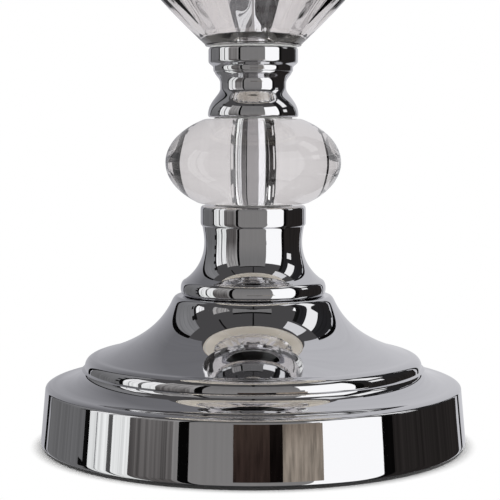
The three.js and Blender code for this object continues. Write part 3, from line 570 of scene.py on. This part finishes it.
def helix(pitch, crest, root, thread):
    """A right-hand thread between two levels, rounded as a rolled one is."""

    def depth(radius, angle, height):
        inside = smoothstep(height, thread[0], thread[0] + pitch / 2)
        inside *= 1 - smoothstep(height, thread[1] - pitch / 2, thread[1])
        wave = (1 - math.cos(math.tau * height / pitch - angle)) / 2
        return (crest - root) * wave * inside

    return depth


tube_thread_at = helix(tube_pitch, tube_crest, tube_root, tube_thread)
bm = turn(tube, 120)
press(bm, lambda r, a, z: tube_thread_at(r, a, z) if r > tube_root else 0)
threaded_tube = to_object(bm, "threaded_holder_tube", chrome, sharp=50)
for piece, node in ((drawn_cup, "holder_cup"), (threaded_tube, "holder_tube")):
    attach(piece, "root")
    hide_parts(node)
dress("top_nut", zinc_steel)
dress("switch_body", black_nylon)


# Lampholder, inside. A glazed porcelain core with two brass terminal screws carries the rolled
# brass screw shell and its spring contact, and a white sleeve insulates them from the tube.

# Glazed porcelain: warm white under a clear glassy glaze, with a few soft pin marks.
porcelain, tree, glaze, tint = mottled("glazed_porcelain", 3, 3, "#ebe6da", "#f4f1ea")
pooling = add(tree, "Bump", {"Height": glaze, "Distance": 0.05 * MM})
glazed = {"Base Color": tint, "Roughness": 0.14, "Normal": pooling}
porcelain_shader = add(tree, "BsdfPrincipled", glazed)
add(tree, "OutputMaterial", {"Surface": porcelain_shader})

# Rolled brass strip: yellow, bright where it was drawn and a little dull in between.
brass, tree, dull, tint = mottled("rolled_brass_strip", 3, 5, "#b48f4c", "#d8b36a")
gloss = add(tree, "MapRange", {"Value": dull, "To Min": 0.38, "To Max": 0.18})
brass_shader = add(tree, "BsdfPrincipled", {"Base Color": tint, "Metallic": 1.0, "Roughness": gloss})
add(tree, "OutputMaterial", {"Surface": brass_shader})

dress("porcelain_core", porcelain)
for node in ("terminal_screw_front", "terminal_screw_back", "centre_contact"):
    dress(node, brass)

sleeve = [(14.7, 333.6), (17.6, 333.6)]
bend(sleeve, (17.8, 333.6), (17.8, 334), 3)
straight(sleeve, (17.8, 360.4))
bend(sleeve, (17.8, 361), (17.2, 361), 4)
bend(sleeve, (14.6, 361), (14.6, 359.5), 5)
straight(sleeve, sleeve[0])
white_sleeve = to_object(turn(sleeve, 96), "white_insulating_sleeve", porcelain)
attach(white_sleeve, "root")
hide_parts("insulating_sleeve")

screw_pitch = 3.63
screw_rows = 60
inner_edge, outer_edge, shell_foot, shell_mouth = 13.55, 14.2, 333.6, 357.6
levels = [shell_foot + (shell_mouth - shell_foot) * i / screw_rows for i in range(screw_rows + 1)]
shell_wall = [(outer_edge, level) for level in levels] + [(inner_edge, level) for level in reversed(levels)]
shell_wall.append(shell_wall[0])
bm = turn(shell_wall, 96)
press(bm, helix(screw_pitch, 0.55, 0, (shell_foot + 1, shell_mouth + screw_pitch)))
rolled_shell = to_object(bm, "rolled_screw_shell", brass, sharp=50)
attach(rolled_shell, "root")
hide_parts("screw_shell")


# Switch key. A brass spindle from the switch through the cup's wall, and on it a moulded black
# key with twelve ribs and a closed, slightly domed end.
knob_foot, knob_length = 21.2, 11
key = [(2.15, 0), (5.2, 0)]
bend(key, (5.6, 0), (5.6, 0.4), 4)
straight(key, (5.05, 9.6))
bend(key, (5, 10.6), (4, 10.75), 8)
sweep(key, (0, knob_length), (0.4, 0.9), (0.4, 0), 8)
key += [(0, 9), (2.15, 9), (2.15, 0)]
ribs, rib_depth, rib_top = 12, 0.7, 10.2
along_x = Matrix.Translation((knob_foot * MM, 0, spindle_level * MM)) @ Matrix.Rotation(math.pi / 2, 4, "Y")
bm = turn(key, ribs * 16)


def rib(radius, angle, height):
    """Half-round ribs that run out before the key's end."""
    fade = 1 - smoothstep(height, rib_top - 1.5, rib_top)
    return rib_depth * fade * (1 - abs(math.cos(ribs * angle / 2))) if radius > 4 else 0


press(bm, rib)
bmesh.ops.transform(bm, matrix=along_x, verts=bm.verts)
ribbed_key = to_object(bm, "ribbed_switch_key", black_nylon, sharp=40)
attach(ribbed_key, "knob")
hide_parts("switch_knob")

spindle = [(0, -8.4), (1.7, -8.4), (2, -8.1)]
straight(spindle, (2, 8.4))
spindle += [(1.7, 8.7), (0, 8.7)]
bm = turn(spindle, 48)
bmesh.ops.transform(bm, matrix=along_x, verts=bm.verts)
brass_spindle = to_object(bm, "brass_spindle", brass)
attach(brass_spindle, "knob")
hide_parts("switch_spindle")


# Bulb. A rolled aluminium screw cap with a black glass insulator and a soldered tip under it, and
# an opal glass globe cemented into it.

# Rolled aluminium: pale grey metal, satin, with fine rings left by the rolling.
aluminium, tree = new_material("rolled_aluminium_cap")
place = add(tree, "TexCoord").outputs["Object"]
drawn = add(tree, "Mapping", {"Vector": place, "Scale": (1, 1, 12)})
lines = add(tree, "TexNoise", {"Vector": drawn, "Scale": per_mm(4), "Detail": 3})
gloss = add(tree, "MapRange", {"Value": lines, "To Min": 0.22, "To Max": 0.4})
satin = {"Base Color": hex_colour("#c9cacc"), "Metallic": 1.0, "Roughness": gloss}
aluminium_shader = add(tree, "BsdfPrincipled", satin)
add(tree, "OutputMaterial", {"Surface": aluminium_shader})

# Opal glass: white through and through, with a smooth satin skin and a slightly warmer depth.
opal_glass, tree, _, tint = mottled("blown_opal_glass", 25, 2, "#f1eee6", "#f7f5f0")
fired = {"Base Color": tint, "Roughness": 0.2, "Coat Weight": 0.3, "Coat Roughness": 0.05}
opal_shader = add(tree, "BsdfPrincipled", fired)
add(tree, "OutputMaterial", {"Surface": opal_shader})

tip_radius, insulator_foot, screw_foot, screw_top = 4.8, 338.9, 341.2, 364.2
tip = [(0, 336.6)]
sweep(tip, (tip_radius, 338.1), (0.5, 0), (0, 0.6), 10)
tip += [(tip_radius, insulator_foot), (0, insulator_foot)]
insulator = [(0, insulator_foot), (tip_radius, insulator_foot)]
sweep(insulator, (11, screw_foot), (0.4, 0.2), (0.3, 0.4), 12)
insulator.append((0, screw_foot))
screw_radius, wall_foot = 13, screw_foot + 1.2
screw_cap = [(0, screw_foot), (11.2, screw_foot)]
bend(screw_cap, (screw_radius, screw_foot), (screw_radius, wall_foot), 5)
rows = 66
screw_cap += [(screw_radius, wall_foot + (screw_top - wall_foot) * i / rows) for i in range(1, rows + 1)]
screw_cap.append((0, screw_top))
globe_centre, globe_radius, globe_neck = 412.2, 30, 14.4
globe = [(0, screw_top), (globe_neck - 1, screw_top)]
bend(globe, (globe_neck, screw_top), (globe_neck, screw_top + 1), 4)
sweep(globe, (globe_radius, globe_centre), (0, 0.4), (0, 0.5), 36)
rows = 24
for i in range(1, rows):
    angle = math.pi / 2 * i / rows
    globe.append((globe_radius * math.cos(angle), globe_centre + globe_radius * math.sin(angle)))
globe.append((0, globe_centre + globe_radius))
cap_thread_at = helix(screw_pitch, 0.9, 0, (343, 360))
bm = turn(screw_cap, 96)
press(bm, lambda r, a, z: cap_thread_at(r, a, z) if r > screw_radius - 1 else 0)
for name, node, slot, material, body in (
    ("soldered_tip", "bulb_tip", "steel", zinc_steel, turn(tip, 64)),
    ("glass_insulator", "bulb_insulator", "black_plastic", black_nylon, turn(insulator, 64)),
    ("rolled_screw_cap", "bulb_cap", "aluminium", aluminium, bm),
    ("opal_globe", "bulb_glass", "opal_glass", opal_glass, turn(globe, 128)),
):
    bulb_piece = to_object(body, name, material, sharp=50)
    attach(bulb_piece, "root")
    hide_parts(node)


# Shade rings. Two moulded black rings that screw onto the lampholder's tube from above and clamp
# the shade's fitter between them. Ten rounded lobes give the fingers a grip.
lobes, lobe_depth = 10, 1.1
ring_bore, ring_edge, ring_height = 19.6, 26, 6


def lobe(radius, angle, height):
    """Shallow waves round the edge, which leave the bore round."""
    outer = smoothstep(radius, ring_edge - 2.5, ring_edge)
    return lobe_depth * outer * (1 - math.cos(lobes * angle)) / 2


for name, node, foot in (
    ("lobed_ring_under_fitter", "shade_ring_lower", 331.4),
    ("lobed_ring_over_fitter", "shade_ring_upper", 339.9),
):
    top = foot + ring_height
    ring = [(ring_bore, foot + 0.5)]
    bend(ring, (ring_bore, foot), (ring_bore + 0.5, foot), 4)
    straight(ring, (ring_edge - 0.8, foot))
    bend(ring, (ring_edge, foot), (ring_edge, foot + 0.8), 5)
    straight(ring, (ring_edge, top - 0.8))
    bend(ring, (ring_edge, top), (ring_edge - 0.8, top), 5)
    straight(ring, (ring_bore + 0.5, top))
    bend(ring, (ring_bore, top), (ring_bore, top - 0.5), 4)
    straight(ring, ring[0])
    bm = turn(ring, lobes * 16)
    press(bm, lobe)
    lobed_ring = to_object(bm, name, black_nylon, sharp=50)
    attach(lobed_ring, "root")
    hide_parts(node)


# Shade frame. A pressed steel fitter ring, three steel wires welded to it and to the lower hoop,
# and a second hoop at the top, all powder-coated white. The wires end in small weld beads.

# White powder coat: half gloss, with the soft orange peel of the baked powder (about 1.5 mm).
powder_coat, tree, _, tint = mottled("white_powder_coat", 15, 2, "#e6e4de", "#f0eeea")
place = add(tree, "TexCoord").outputs["Object"]
peel = add(tree, "TexNoise", {"Vector": place, "Scale": per_mm(1.5), "Detail": 2})
orange_peel = add(tree, "Bump", {"Height": peel, "Distance": 0.04 * MM})
baked = {"Base Color": tint, "Roughness": 0.4, "Normal": orange_peel}
powder_shader = add(tree, "BsdfPrincipled", baked)
add(tree, "OutputMaterial", {"Surface": powder_shader})

fitter_foot, fitter_top, fitter_edge = 337.7, 339.6, 26.6
fitter = [(ring_bore, fitter_foot + 0.5)]
bend(fitter, (ring_bore, fitter_foot), (ring_bore + 0.5, fitter_foot), 4)
straight(fitter, (fitter_edge - 0.7, fitter_foot))
bend(fitter, (fitter_edge, fitter_foot), (fitter_edge, (fitter_foot + fitter_top) / 2), 5)
bend(fitter, (fitter_edge, fitter_top), (fitter_edge - 0.7, fitter_top), 5)
straight(fitter, (ring_bore + 0.5, fitter_top))
bend(fitter, (ring_bore, fitter_top), fitter[0], 4)
pressed_fitter = to_object(turn(fitter, 128), "pressed_fitter", powder_coat, sharp=50)
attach(pressed_fitter, "shade")
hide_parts("shade_fitter")

hoop_wire, arm_wire, sides = 1.5, 1.3, 16
hoops = {}
for name, node in (("lower_wire_hoop", "shade_hoop_lower"), ("upper_wire_hoop", "shade_hoop_upper")):
    low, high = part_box(node)
    radius, height = hoops[node] = (high.x / MM - hoop_wire, (low.z + high.z) / 2 / MM)
    wire = []
    for i in range(sides + 1):
        angle = math.tau * i / sides
        wire.append((radius + hoop_wire * math.cos(angle), height + hoop_wire * math.sin(angle)))
    wire_hoop = to_object(turn(wire, 160), name, powder_coat)
    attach(wire_hoop, "shade")
    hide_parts(node)

hoop_radius, hoop_level = hoops["shade_hoop_lower"]
arm_level, level_run = 338.65, 12
arm = [(fitter_edge - 0.8, arm_level)]
straight(arm, (fitter_edge + level_run, arm_level), 1.5)
sweep(arm, (hoop_radius - level_run, hoop_level + 1), (0.35, 0.02), (0.3, 0.12), 20)
sweep(arm, (hoop_radius - 0.6, hoop_level), (0.4, 0.6), (0.3, 0.1), 4)
arms, bead_radius = 3, 2.3
beads = ((hoop_radius - 1, hoop_level, 0.8), (fitter_edge + 0.3, arm_level, 0.55))
for i in range(arms):
    bearing = math.pi / 2 + math.tau * i / arms
    path = bpy.data.curves.new("arm_path", "CURVE")
    path.dimensions = "3D"
    path.bevel_depth = arm_wire * MM
    path.bevel_resolution = 4
    path.use_fill_caps = True
    spline = path.splines.new("POLY")
    spline.points.add(len(arm) - 1)
    for point, (radius, height) in zip(spline.points, arm):
        point.co = (radius * MM, 0, height * MM, 1)
    curve = bpy.data.objects.new("arm_path", path)
    bm = bmesh.new()
    bm.from_mesh(curve.to_mesh())
    bpy.data.objects.remove(curve)
    for radius, height, flat in beads:
        spot = Matrix.Translation((radius * MM, 0, height * MM)) @ Matrix.Diagonal((1, 1.1, flat, 1))
        bmesh.ops.create_uvsphere(bm, u_segments=16, v_segments=10, radius=bead_radius * MM, matrix=spot)
    heal(bm)
    bmesh.ops.rotate(bm, cent=(0, 0, 0), matrix=Matrix.Rotation(bearing, 3, "Z"), verts=bm.verts)
    wire_arm = to_object(bm, f"welded_arm_{i + 1}", powder_coat, sharp=50)
    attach(wire_arm, "shade")
    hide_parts(f"shade_arm_{i + 1}")


# Shade skin. Cream linen laminated onto a stiff white styrene sheet, cut as one curved blank,
# rolled into a cone and glued with an overlap at the back. It is stiff, so it is no loose cloth.
shade_foot, shade_top, shade_wide, shade_narrow, laminate = 312.7, 499.7, 140, 96, 1.2
taper = (shade_wide - shade_narrow) / (shade_top - shade_foot)
cone_pull = math.sin(math.atan(taper))


def shade_radius(height):
    return shade_wide - taper * (height - shade_foot)


def lay_cloth(bm):
    """Lays the flat blank's own directions on the cone, in metres, with the thread upright at the
    front."""
    cloth = bm.loops.layers.uv.new("blank")
    for face in bm.faces:
        middle = face.calc_center_median()
        facing = math.atan2(middle.x, -middle.y)
        for loop in face.loops:
            x, y, z = loop.vert.co
            turned = math.atan2(x, -y)
            turned += math.tau * round((facing - turned) / math.tau)
            reach = math.hypot(x, y) / cone_pull
            loop[cloth].uv = (reach * math.sin(turned * cone_pull), -reach * math.cos(turned * cone_pull))


# Plain-woven linen: matt, cream, with threads that vary in thickness. Real threads lie 0.7 mm
# apart, too fine for a whole view, so they are drawn 1.1 mm apart, and thick slubs run for some 25 mm.
def woven_linen(name, bias):
    material, tree = new_material(name)
    blank = add(tree, "TexCoord").outputs["UV"]
    laid = add(tree, "Mapping", {"Vector": blank, "Rotation": (0, 0, bias)})
    spacing, slub_width, slub_length = 1.1, 1.3, 25
    bands = bands_per_mm(spacing)
    warp = add(tree, "TexWave", {"Vector": laid, "Scale": bands, "Distortion": 0.6}, bands_direction="X")
    weft = add(tree, "TexWave", {"Vector": laid, "Scale": bands, "Distortion": 0.6}, bands_direction="Y")
    weave = add(tree, "Math", {0: warp.outputs["Fac"], 1: weft.outputs["Fac"]}, operation="MULTIPLY")
    slubs = []
    for width, length in ((slub_width, slub_length), (slub_length, slub_width)):
        stretched = add(tree, "Mapping", {"Vector": laid, "Scale": (per_mm(width), per_mm(length), 1)})
        uneven = {"Vector": stretched, "Scale": 1, "Detail": 3, "Roughness": 0.55}
        slubs.append(add(tree, "TexNoise", uneven))
    both = add(tree, "Math", {0: slubs[0], 1: slubs[1]}, operation="ADD")
    thick = add(tree, "MapRange", {"Value": both, "From Min": 0.6, "From Max": 1.4})
    relief = add(tree, "Math", {0: weave, 1: 0.45, 2: thick}, operation="MULTIPLY_ADD")
    tint = add(tree, "ValToRGB", {"Fac": relief})
    tint.color_ramp.elements[0].color = hex_colour("#d9cbb8")
    tint.color_ramp.elements[0].position = 0.25
    tint.color_ramp.elements[1].color = hex_colour("#f4e9da")
    tint.color_ramp.elements[1].position = 0.95
    threads = add(tree, "Bump", {"Height": relief, "Distance": 0.25 * MM})
    matt = {"Base Color": tint, "Roughness": 0.88, "Normal": threads}
    shader = add(tree, "BsdfPrincipled", {**matt, "Sheen Weight": 0.12, "Sheen Roughness": 0.5})
    add(tree, "OutputMaterial", {"Surface": shader})
    return material


linen = woven_linen("woven_cream_linen", 0)
bias_linen = woven_linen("bias_cut_cream_linen", math.pi / 4)

# Styrene sheet: smooth white plastic, half matt, faintly marked by the rollers.
styrene, tree, _, tint = mottled("calendered_white_styrene", 30, 3, "#f6efe3", "#faf5ec")
styrene_shader = add(tree, "BsdfPrincipled", {"Base Color": tint, "Roughness": 0.45})
add(tree, "OutputMaterial", {"Surface": styrene_shader})

rows = 40
levels = [shade_foot + (shade_top - shade_foot) * i / rows for i in range(rows + 1)]
cone = [(shade_radius(level), level) for level in levels]
cone += [(radius - laminate, height) for radius, height in reversed(cone)]
cone.append(cone[0])
wave_size, wave_depth = 55, 0.3


def slack(radius, angle, height):
    """The skin's slight waves, a few centimetres from one to the next."""
    spot = Vector((math.cos(angle) * radius, math.sin(angle) * radius, height))
    return wave_depth * abs(noise.noise(spot / wave_size))


bm = turn(cone, 288)
press(bm, slack)
lay_cloth(bm)
for face in bm.faces:
    middle = face.calc_center_median()
    face.material_index = 1 if face.normal.x * middle.x + face.normal.y * middle.y < 0 else 0
shade_cone = to_object(bm, "laminated_shade_skin", linen, styrene)
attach(shade_cone, "shade")
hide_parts("shade_skin")

seam_width, seam_thickness, seam_gap = 9, 0.35, 0.02
seam = [(shade_radius(z) + seam_gap, z) for z in (shade_foot + 1, shade_top - 1)]
seam += [(radius + seam_thickness, height) for radius, height in reversed(seam)]
bm = bmesh.new()
seam_end = bm.faces.new([bm.verts.new((radius * MM, 0, height * MM)) for radius, height in seam])
seam_angle = seam_width / ((shade_wide + shade_narrow) / 2)
to_the_back = Matrix.Rotation(math.pi / 2 - seam_angle / 2, 3, "Z")
bmesh.ops.rotate(bm, cent=(0, 0, 0), matrix=to_the_back, verts=bm.verts)
bmesh.ops.spin(bm, geom=[seam_end], cent=(0, 0, 0), axis=(0, 0, 1), angle=seam_angle, steps=4)
heal(bm)
lay_cloth(bm)
glued_seam = to_object(bm, "glued_shade_seam", linen)
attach(glued_seam, "shade")


# Shade trims. A strip of the same linen, cut on the bias, glued round each edge of the shade and
# folded over it, so that the laminate's raw edge doesn't show.
trim_width, trim_thickness, fold, glue = 8, 0.75, 0.5, 0.15
for name, node, edge, inward in (
    ("folded_trim_at_foot", "shade_trim_lower", shade_foot, 1),
    ("folded_trim_at_top", "shade_trim_upper", shade_top, -1),
):
    far = edge + inward * trim_width
    out = edge - inward * fold
    near_face, far_face = shade_radius(edge), shade_radius(far)
    near_outside, far_outside = near_face + trim_thickness, far_face + trim_thickness
    trim = [(near_face - laminate, edge), (near_face - laminate, out)]
    straight(trim, (near_face + 0.2, out))
    bend(trim, (near_outside, out), (near_outside, edge + inward * 0.6), 6)
    straight(trim, (far_outside, far - inward * 0.6))
    bend(trim, (far_outside, far), (far_face + glue, far), 5)
    straight(trim, (near_face + glue, edge))
    trim.append(trim[0])
    bm = turn(trim, 288)
    lay_cloth(bm)
    folded_trim = to_object(bm, name, bias_linen, sharp=50)
    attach(folded_trim, "shade")
    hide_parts(node)


# Camera. A long lens from half a metre away, a little above the foot and tilted slightly down.
camera_data = bpy.data.cameras.new("camera")
camera_data.lens = 104.6
camera_data.sensor_width = 36
camera_data.clip_start = 0.01
tilted_down = 4.33
camera = bpy.data.objects.new("camera", camera_data)
camera.location = (-0.0012, -0.5426, 0.1134)
camera.rotation_euler = (math.radians(90 - tilted_down), 0, 0)
bpy.context.scene.collection.objects.link(camera)
bpy.context.scene.camera = camera


# Studio. A pale table that fades into a white backdrop, soft lamps, and round them the room that
# the chrome mirrors: softboxes, dark curtains and a grey ceiling. The camera sees none of it.
def seen_directly(tree):
    """1 for what is seen straight, in a mirror or through glass, and 0 for light on a matt surface."""
    rays = add(tree, "LightPath").outputs
    mirrored = add(tree, "Math", {0: rays["Is Camera Ray"], 1: rays["Is Glossy Ray"]}, operation="MAXIMUM")
    return add(tree, "Math", {0: mirrored, 1: rays["Is Transmission Ray"]}, operation="MAXIMUM")


world = bpy.data.worlds.new("studio")
world.use_nodes = True
bpy.context.scene.world = world
tree = world.node_tree
tree.nodes.clear()
soft_light = add(tree, "Background", {"Color": hex_colour("#ffffff"), "Strength": 0.8})
backdrop = add(tree, "Background", {"Color": hex_colour("#ffffff"), "Strength": 1.0})
shown = add(tree, "MixShader", {0: seen_directly(tree), 1: soft_light, 2: backdrop})
add(tree, "OutputWorld", {"Surface": shown})

table, tree = new_material("pale_table")
place = add(tree, "TexCoord").outputs["Object"]
away = add(tree, "VectorMath", {0: place}, operation="LENGTH")
fading = {"Value": away.outputs["Value"], "From Min": 0.079, "From Max": 0.084}
fade = add(tree, "MapRange", fading, interpolation_type="SMOOTHSTEP")
top = add(tree, "BsdfDiffuse", {"Color": hex_colour("#f7f7f7")})
bright = add(tree, "Emission", {"Color": hex_colour("#ffffff"), "Strength": 1.0})
faded = add(tree, "Math", {0: fade, 1: seen_directly(tree)}, operation="MULTIPLY")
table_shader = add(tree, "MixShader", {0: faded, 1: top, 2: bright})
add(tree, "OutputMaterial", {"Surface": table_shader})
bm = bmesh.new()
bmesh.ops.create_circle(bm, cap_ends=True, segments=96, radius=0.45)
table_top = to_object(bm, "table_top", table)
table_top.visible_glossy = False  # the chrome and the glass show the room below the table's edge instead
table_top.visible_transmission = False


def card(name, span, low, high, shades, streaks=0, strength=1, away=1.5, seen="both", head_span=None):
    """A curtain or lamp face that only mirrors and glass show, bent round the lamp. span holds its
    sides' bearings in degrees, from the camera's side round by the camera's left, and head_span
    those at its head where they differ. low and high are its elevations. shades are its colours at
    its foot and its head, and streaks is how strongly its folds vary."""
    material, tree = new_material(name)
    unrolled = add(tree, "TexCoord").outputs["UV"]
    height = add(tree, "SeparateXYZ", {"Vector": unrolled}).outputs["Y"]
    tint = add(tree, "ValToRGB", {"Fac": height})
    for stop, shade, position in zip(tint.color_ramp.elements, shades, (0.45, 0.8)):
        stop.color = hex_colour(shade)
        stop.position = position
    width, fold_width, column_width, rows = abs(span[1] - span[0]), 2.5, 5, 8
    pulled = add(tree, "Mapping", {"Vector": unrolled, "Scale": (width / fold_width, 1.5, 1)})
    folds = add(tree, "TexNoise", {"Vector": pulled, "Scale": 1, "Detail": 4, "Roughness": 0.6})
    dimmer, brighter = strength * (1 - streaks), strength * (1 + streaks)
    spread = {"Value": folds, "From Min": 0.35, "From Max": 0.65, "To Min": dimmer, "To Max": brighter}
    glow = add(tree, "Emission", {"Color": tint, "Strength": add(tree, "MapRange", spread)})
    add(tree, "OutputMaterial", {"Surface": glow})
    bm = bmesh.new()
    laid_flat = bm.loops.layers.uv.new("unrolled")
    columns = max(2, round(width / column_width))
    bmesh.ops.create_grid(bm, x_segments=columns, y_segments=rows, size=0.5, calc_uvs=True)
    for face in bm.faces:
        for loop in face.loops:
            loop[laid_flat].uv = (loop.vert.co.x + 0.5, loop.vert.co.y + 0.5)
    middle = 0.09
    head_span = head_span or span
    for vertex in bm.verts:
        across, up = vertex.co.x + 0.5, vertex.co.y + 0.5
        start = span[0] + (head_span[0] - span[0]) * up
        end = span[1] + (head_span[1] - span[1]) * up
        bearing = math.radians(start + (end - start) * across)
        rise = math.radians(low + (high - low) * up)
        reach, lift = math.cos(rise) * away, math.sin(rise) * away
        vertex.co = (-math.sin(bearing) * reach, -math.cos(bearing) * reach, middle + lift)
    hung = to_object(bm, name, material)
    hung.visible_camera = False
    hung.visible_diffuse = False
    hung.visible_shadow = False
    hung.visible_glossy = seen != "glass"
    hung.visible_transmission = seen != "mirrors"


for name, low, high, colour, seen in (
    ("ceiling", 30, 89.9, "#535253", "mirrors"),
    ("floor", -89.9, -40, "#3a3a3b", "mirrors"),
    ("ceiling_through_glass", 30, 89.9, "#cac7c6", "glass"),
    ("floor_through_glass", -89.9, -40, "#d2cfce", "glass"),
):
    card(name, (0, 360), low, high, (colour, colour), away=1.6, seen=seen)

white, black, soft_black = ("#ffffff", "#ffffff"), ("#0c0c0c", "#0c0c0c"), ("#0a0a0a", "#0a0a0a")
card("left_backdrop", (150, 180), -50, 60, ("#b8b8bd", "#7c7c80"), 0.03, 1, 1.5, "mirrors", (120, 180))
card("right_backdrop", (180, 210), -50, 60, ("#d4d4d8", "#d2d2d6"), 0.03, 1, 1.5, "mirrors", (180, 240))
card("left_wall", (98, 150), -50, 50, ("#757576", "#8c8c8e"), 0.18, head_span=(98, 125))
card("left_softbox_frame", (94, 102), -50, 40, ("#0d0d0d", "#161616"), 0.3)
card("left_softbox", (66, 94), -50, 33, ("#f4f6f4", "#ffffff"), 0.2, 1.15)
card("left_curtain", (41, 66), -50, 42, ("#625f5e", "#a9a7a6"), 0.5)
card("left_gap", (38, 41), -50, 42, ("#8d8b8a", "#b5b4b3"), 0.2)
card("front_wall", (-30, 34), -50, 46, ("#918f8e", "#858484"), 0.05, seen="mirrors")
card("front_wall_through_glass", (-30, 34), -50, 46, ("#bdbab9", "#c4c2c1"), 0.05, seen="glass")
card("right_softbox", (-69, -30), -50, 37, white, 0, 1.4)
card("right_softbox_frame", (-76, -69), -50, 50, ("#0b0a0a", "#1a1a1a"), 0.3)
card("right_dark", (-150, -76), -50, 50, ("#2c2928", "#2a2a2c"), 0.3, head_span=(-125, -76))
card("backdrop_through_glass", (112, 248), -50, 60, ("#d4d1d1", "#d4d1d1"), 0.02, seen="glass")

# Seams, bars and small softboxes hang a little in front of these.
for name, span, low, high, shades, streaks, strength, seen, head_span in (
    ("left_backdrop_seam", (145, 150), -20, 50, soft_black, 0, 1, "mirrors", (119, 124)),
    ("right_backdrop_seam", (-151, -147), -20, 50, soft_black, 0, 1, "mirrors", (-127, -123)),
    ("left_seam_through_glass", (134, 137), -40, 50, ("#161616", "#161616"), 0, 1, "glass", None),
    ("right_seam_through_glass", (-137, -124), -40, 50, ("#2c2c2c", "#2c2c2c"), 0.6, 1, "glass", None),
    ("left_softbox_bar", (77, 80), -50, 33, ("#4a4a4a", "#8a8a8a"), 0.4, 1, "both", None),
    ("left_softbox_rib", (88, 88.7), -50, 33, ("#8f8f91", "#8f8f91"), 0.3, 1, "both", None),
    ("front_stand", (32.5, 38), -50, 42, ("#080808", "#080808"), 0, 1, "both", None),
    ("right_high_softbox", (-107, -88), 28, 50, white, 0, 1.2, "both", None),
    ("right_small_softbox", (-97, -84), 10, 20, white, 0, 1.1, "both", None),
    ("front_wall_seam", (-30, 34), 45, 47, black, 0, 1, "mirrors", None),
    ("ceiling_seam", (-1, 1), 46, 75, black, 0, 1, "mirrors", (-2, 2)),
    ("ceiling_left_seam", (58, 61), 50, 75, black, 0, 1, "mirrors", (56, 60)),
    ("ceiling_streak", (-100, -62), 52, 62, ("#f0f0f2", "#f0f0f2"), 0, 1, "mirrors", None),
):
    card(name, span, low, high, shades, streaks, strength, 1.45, seen, head_span)

# Rails stand so low and so near that little but the rim mirrors them. Nearer still, two strips in
# the colours of the wall and of the softbox keep them off the neck.
for name, span, low, high, shades, streaks, strength, away in (
    ("front_rail_left", (-7.7, 9.6), -12, -5.5, ("#372c28", "#453933"), 0.4, 1, 0.6),
    ("front_rail_middle", (-13.9, -7.7), -12, -5.5, ("#120e0d", "#1c1715"), 0.4, 1, 0.6),
    ("front_rail_right", (-33.6, -13.9), -12, -5.5, ("#a09589", "#84786d"), 0.4, 1, 0.6),
    ("front_wall_strip", (-30, 12), -12.9, -5.7, ("#918f8e", "#908e8d"), 0.05, 1, 0.3),
    ("right_softbox_strip", (-35, -30), -12.9, -5.7, white, 0, 1.4, 0.3),
):
    card(name, span, low, high, shades, streaks, strength, away, "mirrors")

for name, spot, aim, size, watts in (
    ("right_lamp", (0.85, -0.7, 0.12), (0, 0, 0.3), 0.7, 5),
    ("left_lamp", (-1.05, -0.2, 0.12), (0, 0, 0.3), 0.7, 4),
    ("high_lamp", (0.5, -0.9, 1.1), (0, 0, 0.2), 0.8, 2),
):
    lamp_data = bpy.data.lights.new(name, "AREA")
    lamp_data.size = size
    lamp_data.energy = watts
    lamp = bpy.data.objects.new(name, lamp_data)
    lamp.location = spot
    lamp.rotation_euler = (Vector(aim) - Vector(spot)).to_track_quat("-Z", "Y").to_euler()
    lamp.visible_glossy = False
    lamp.visible_transmission = False
    bpy.context.scene.collection.objects.link(lamp)

bpy.context.scene.view_settings.view_transform = "Standard"
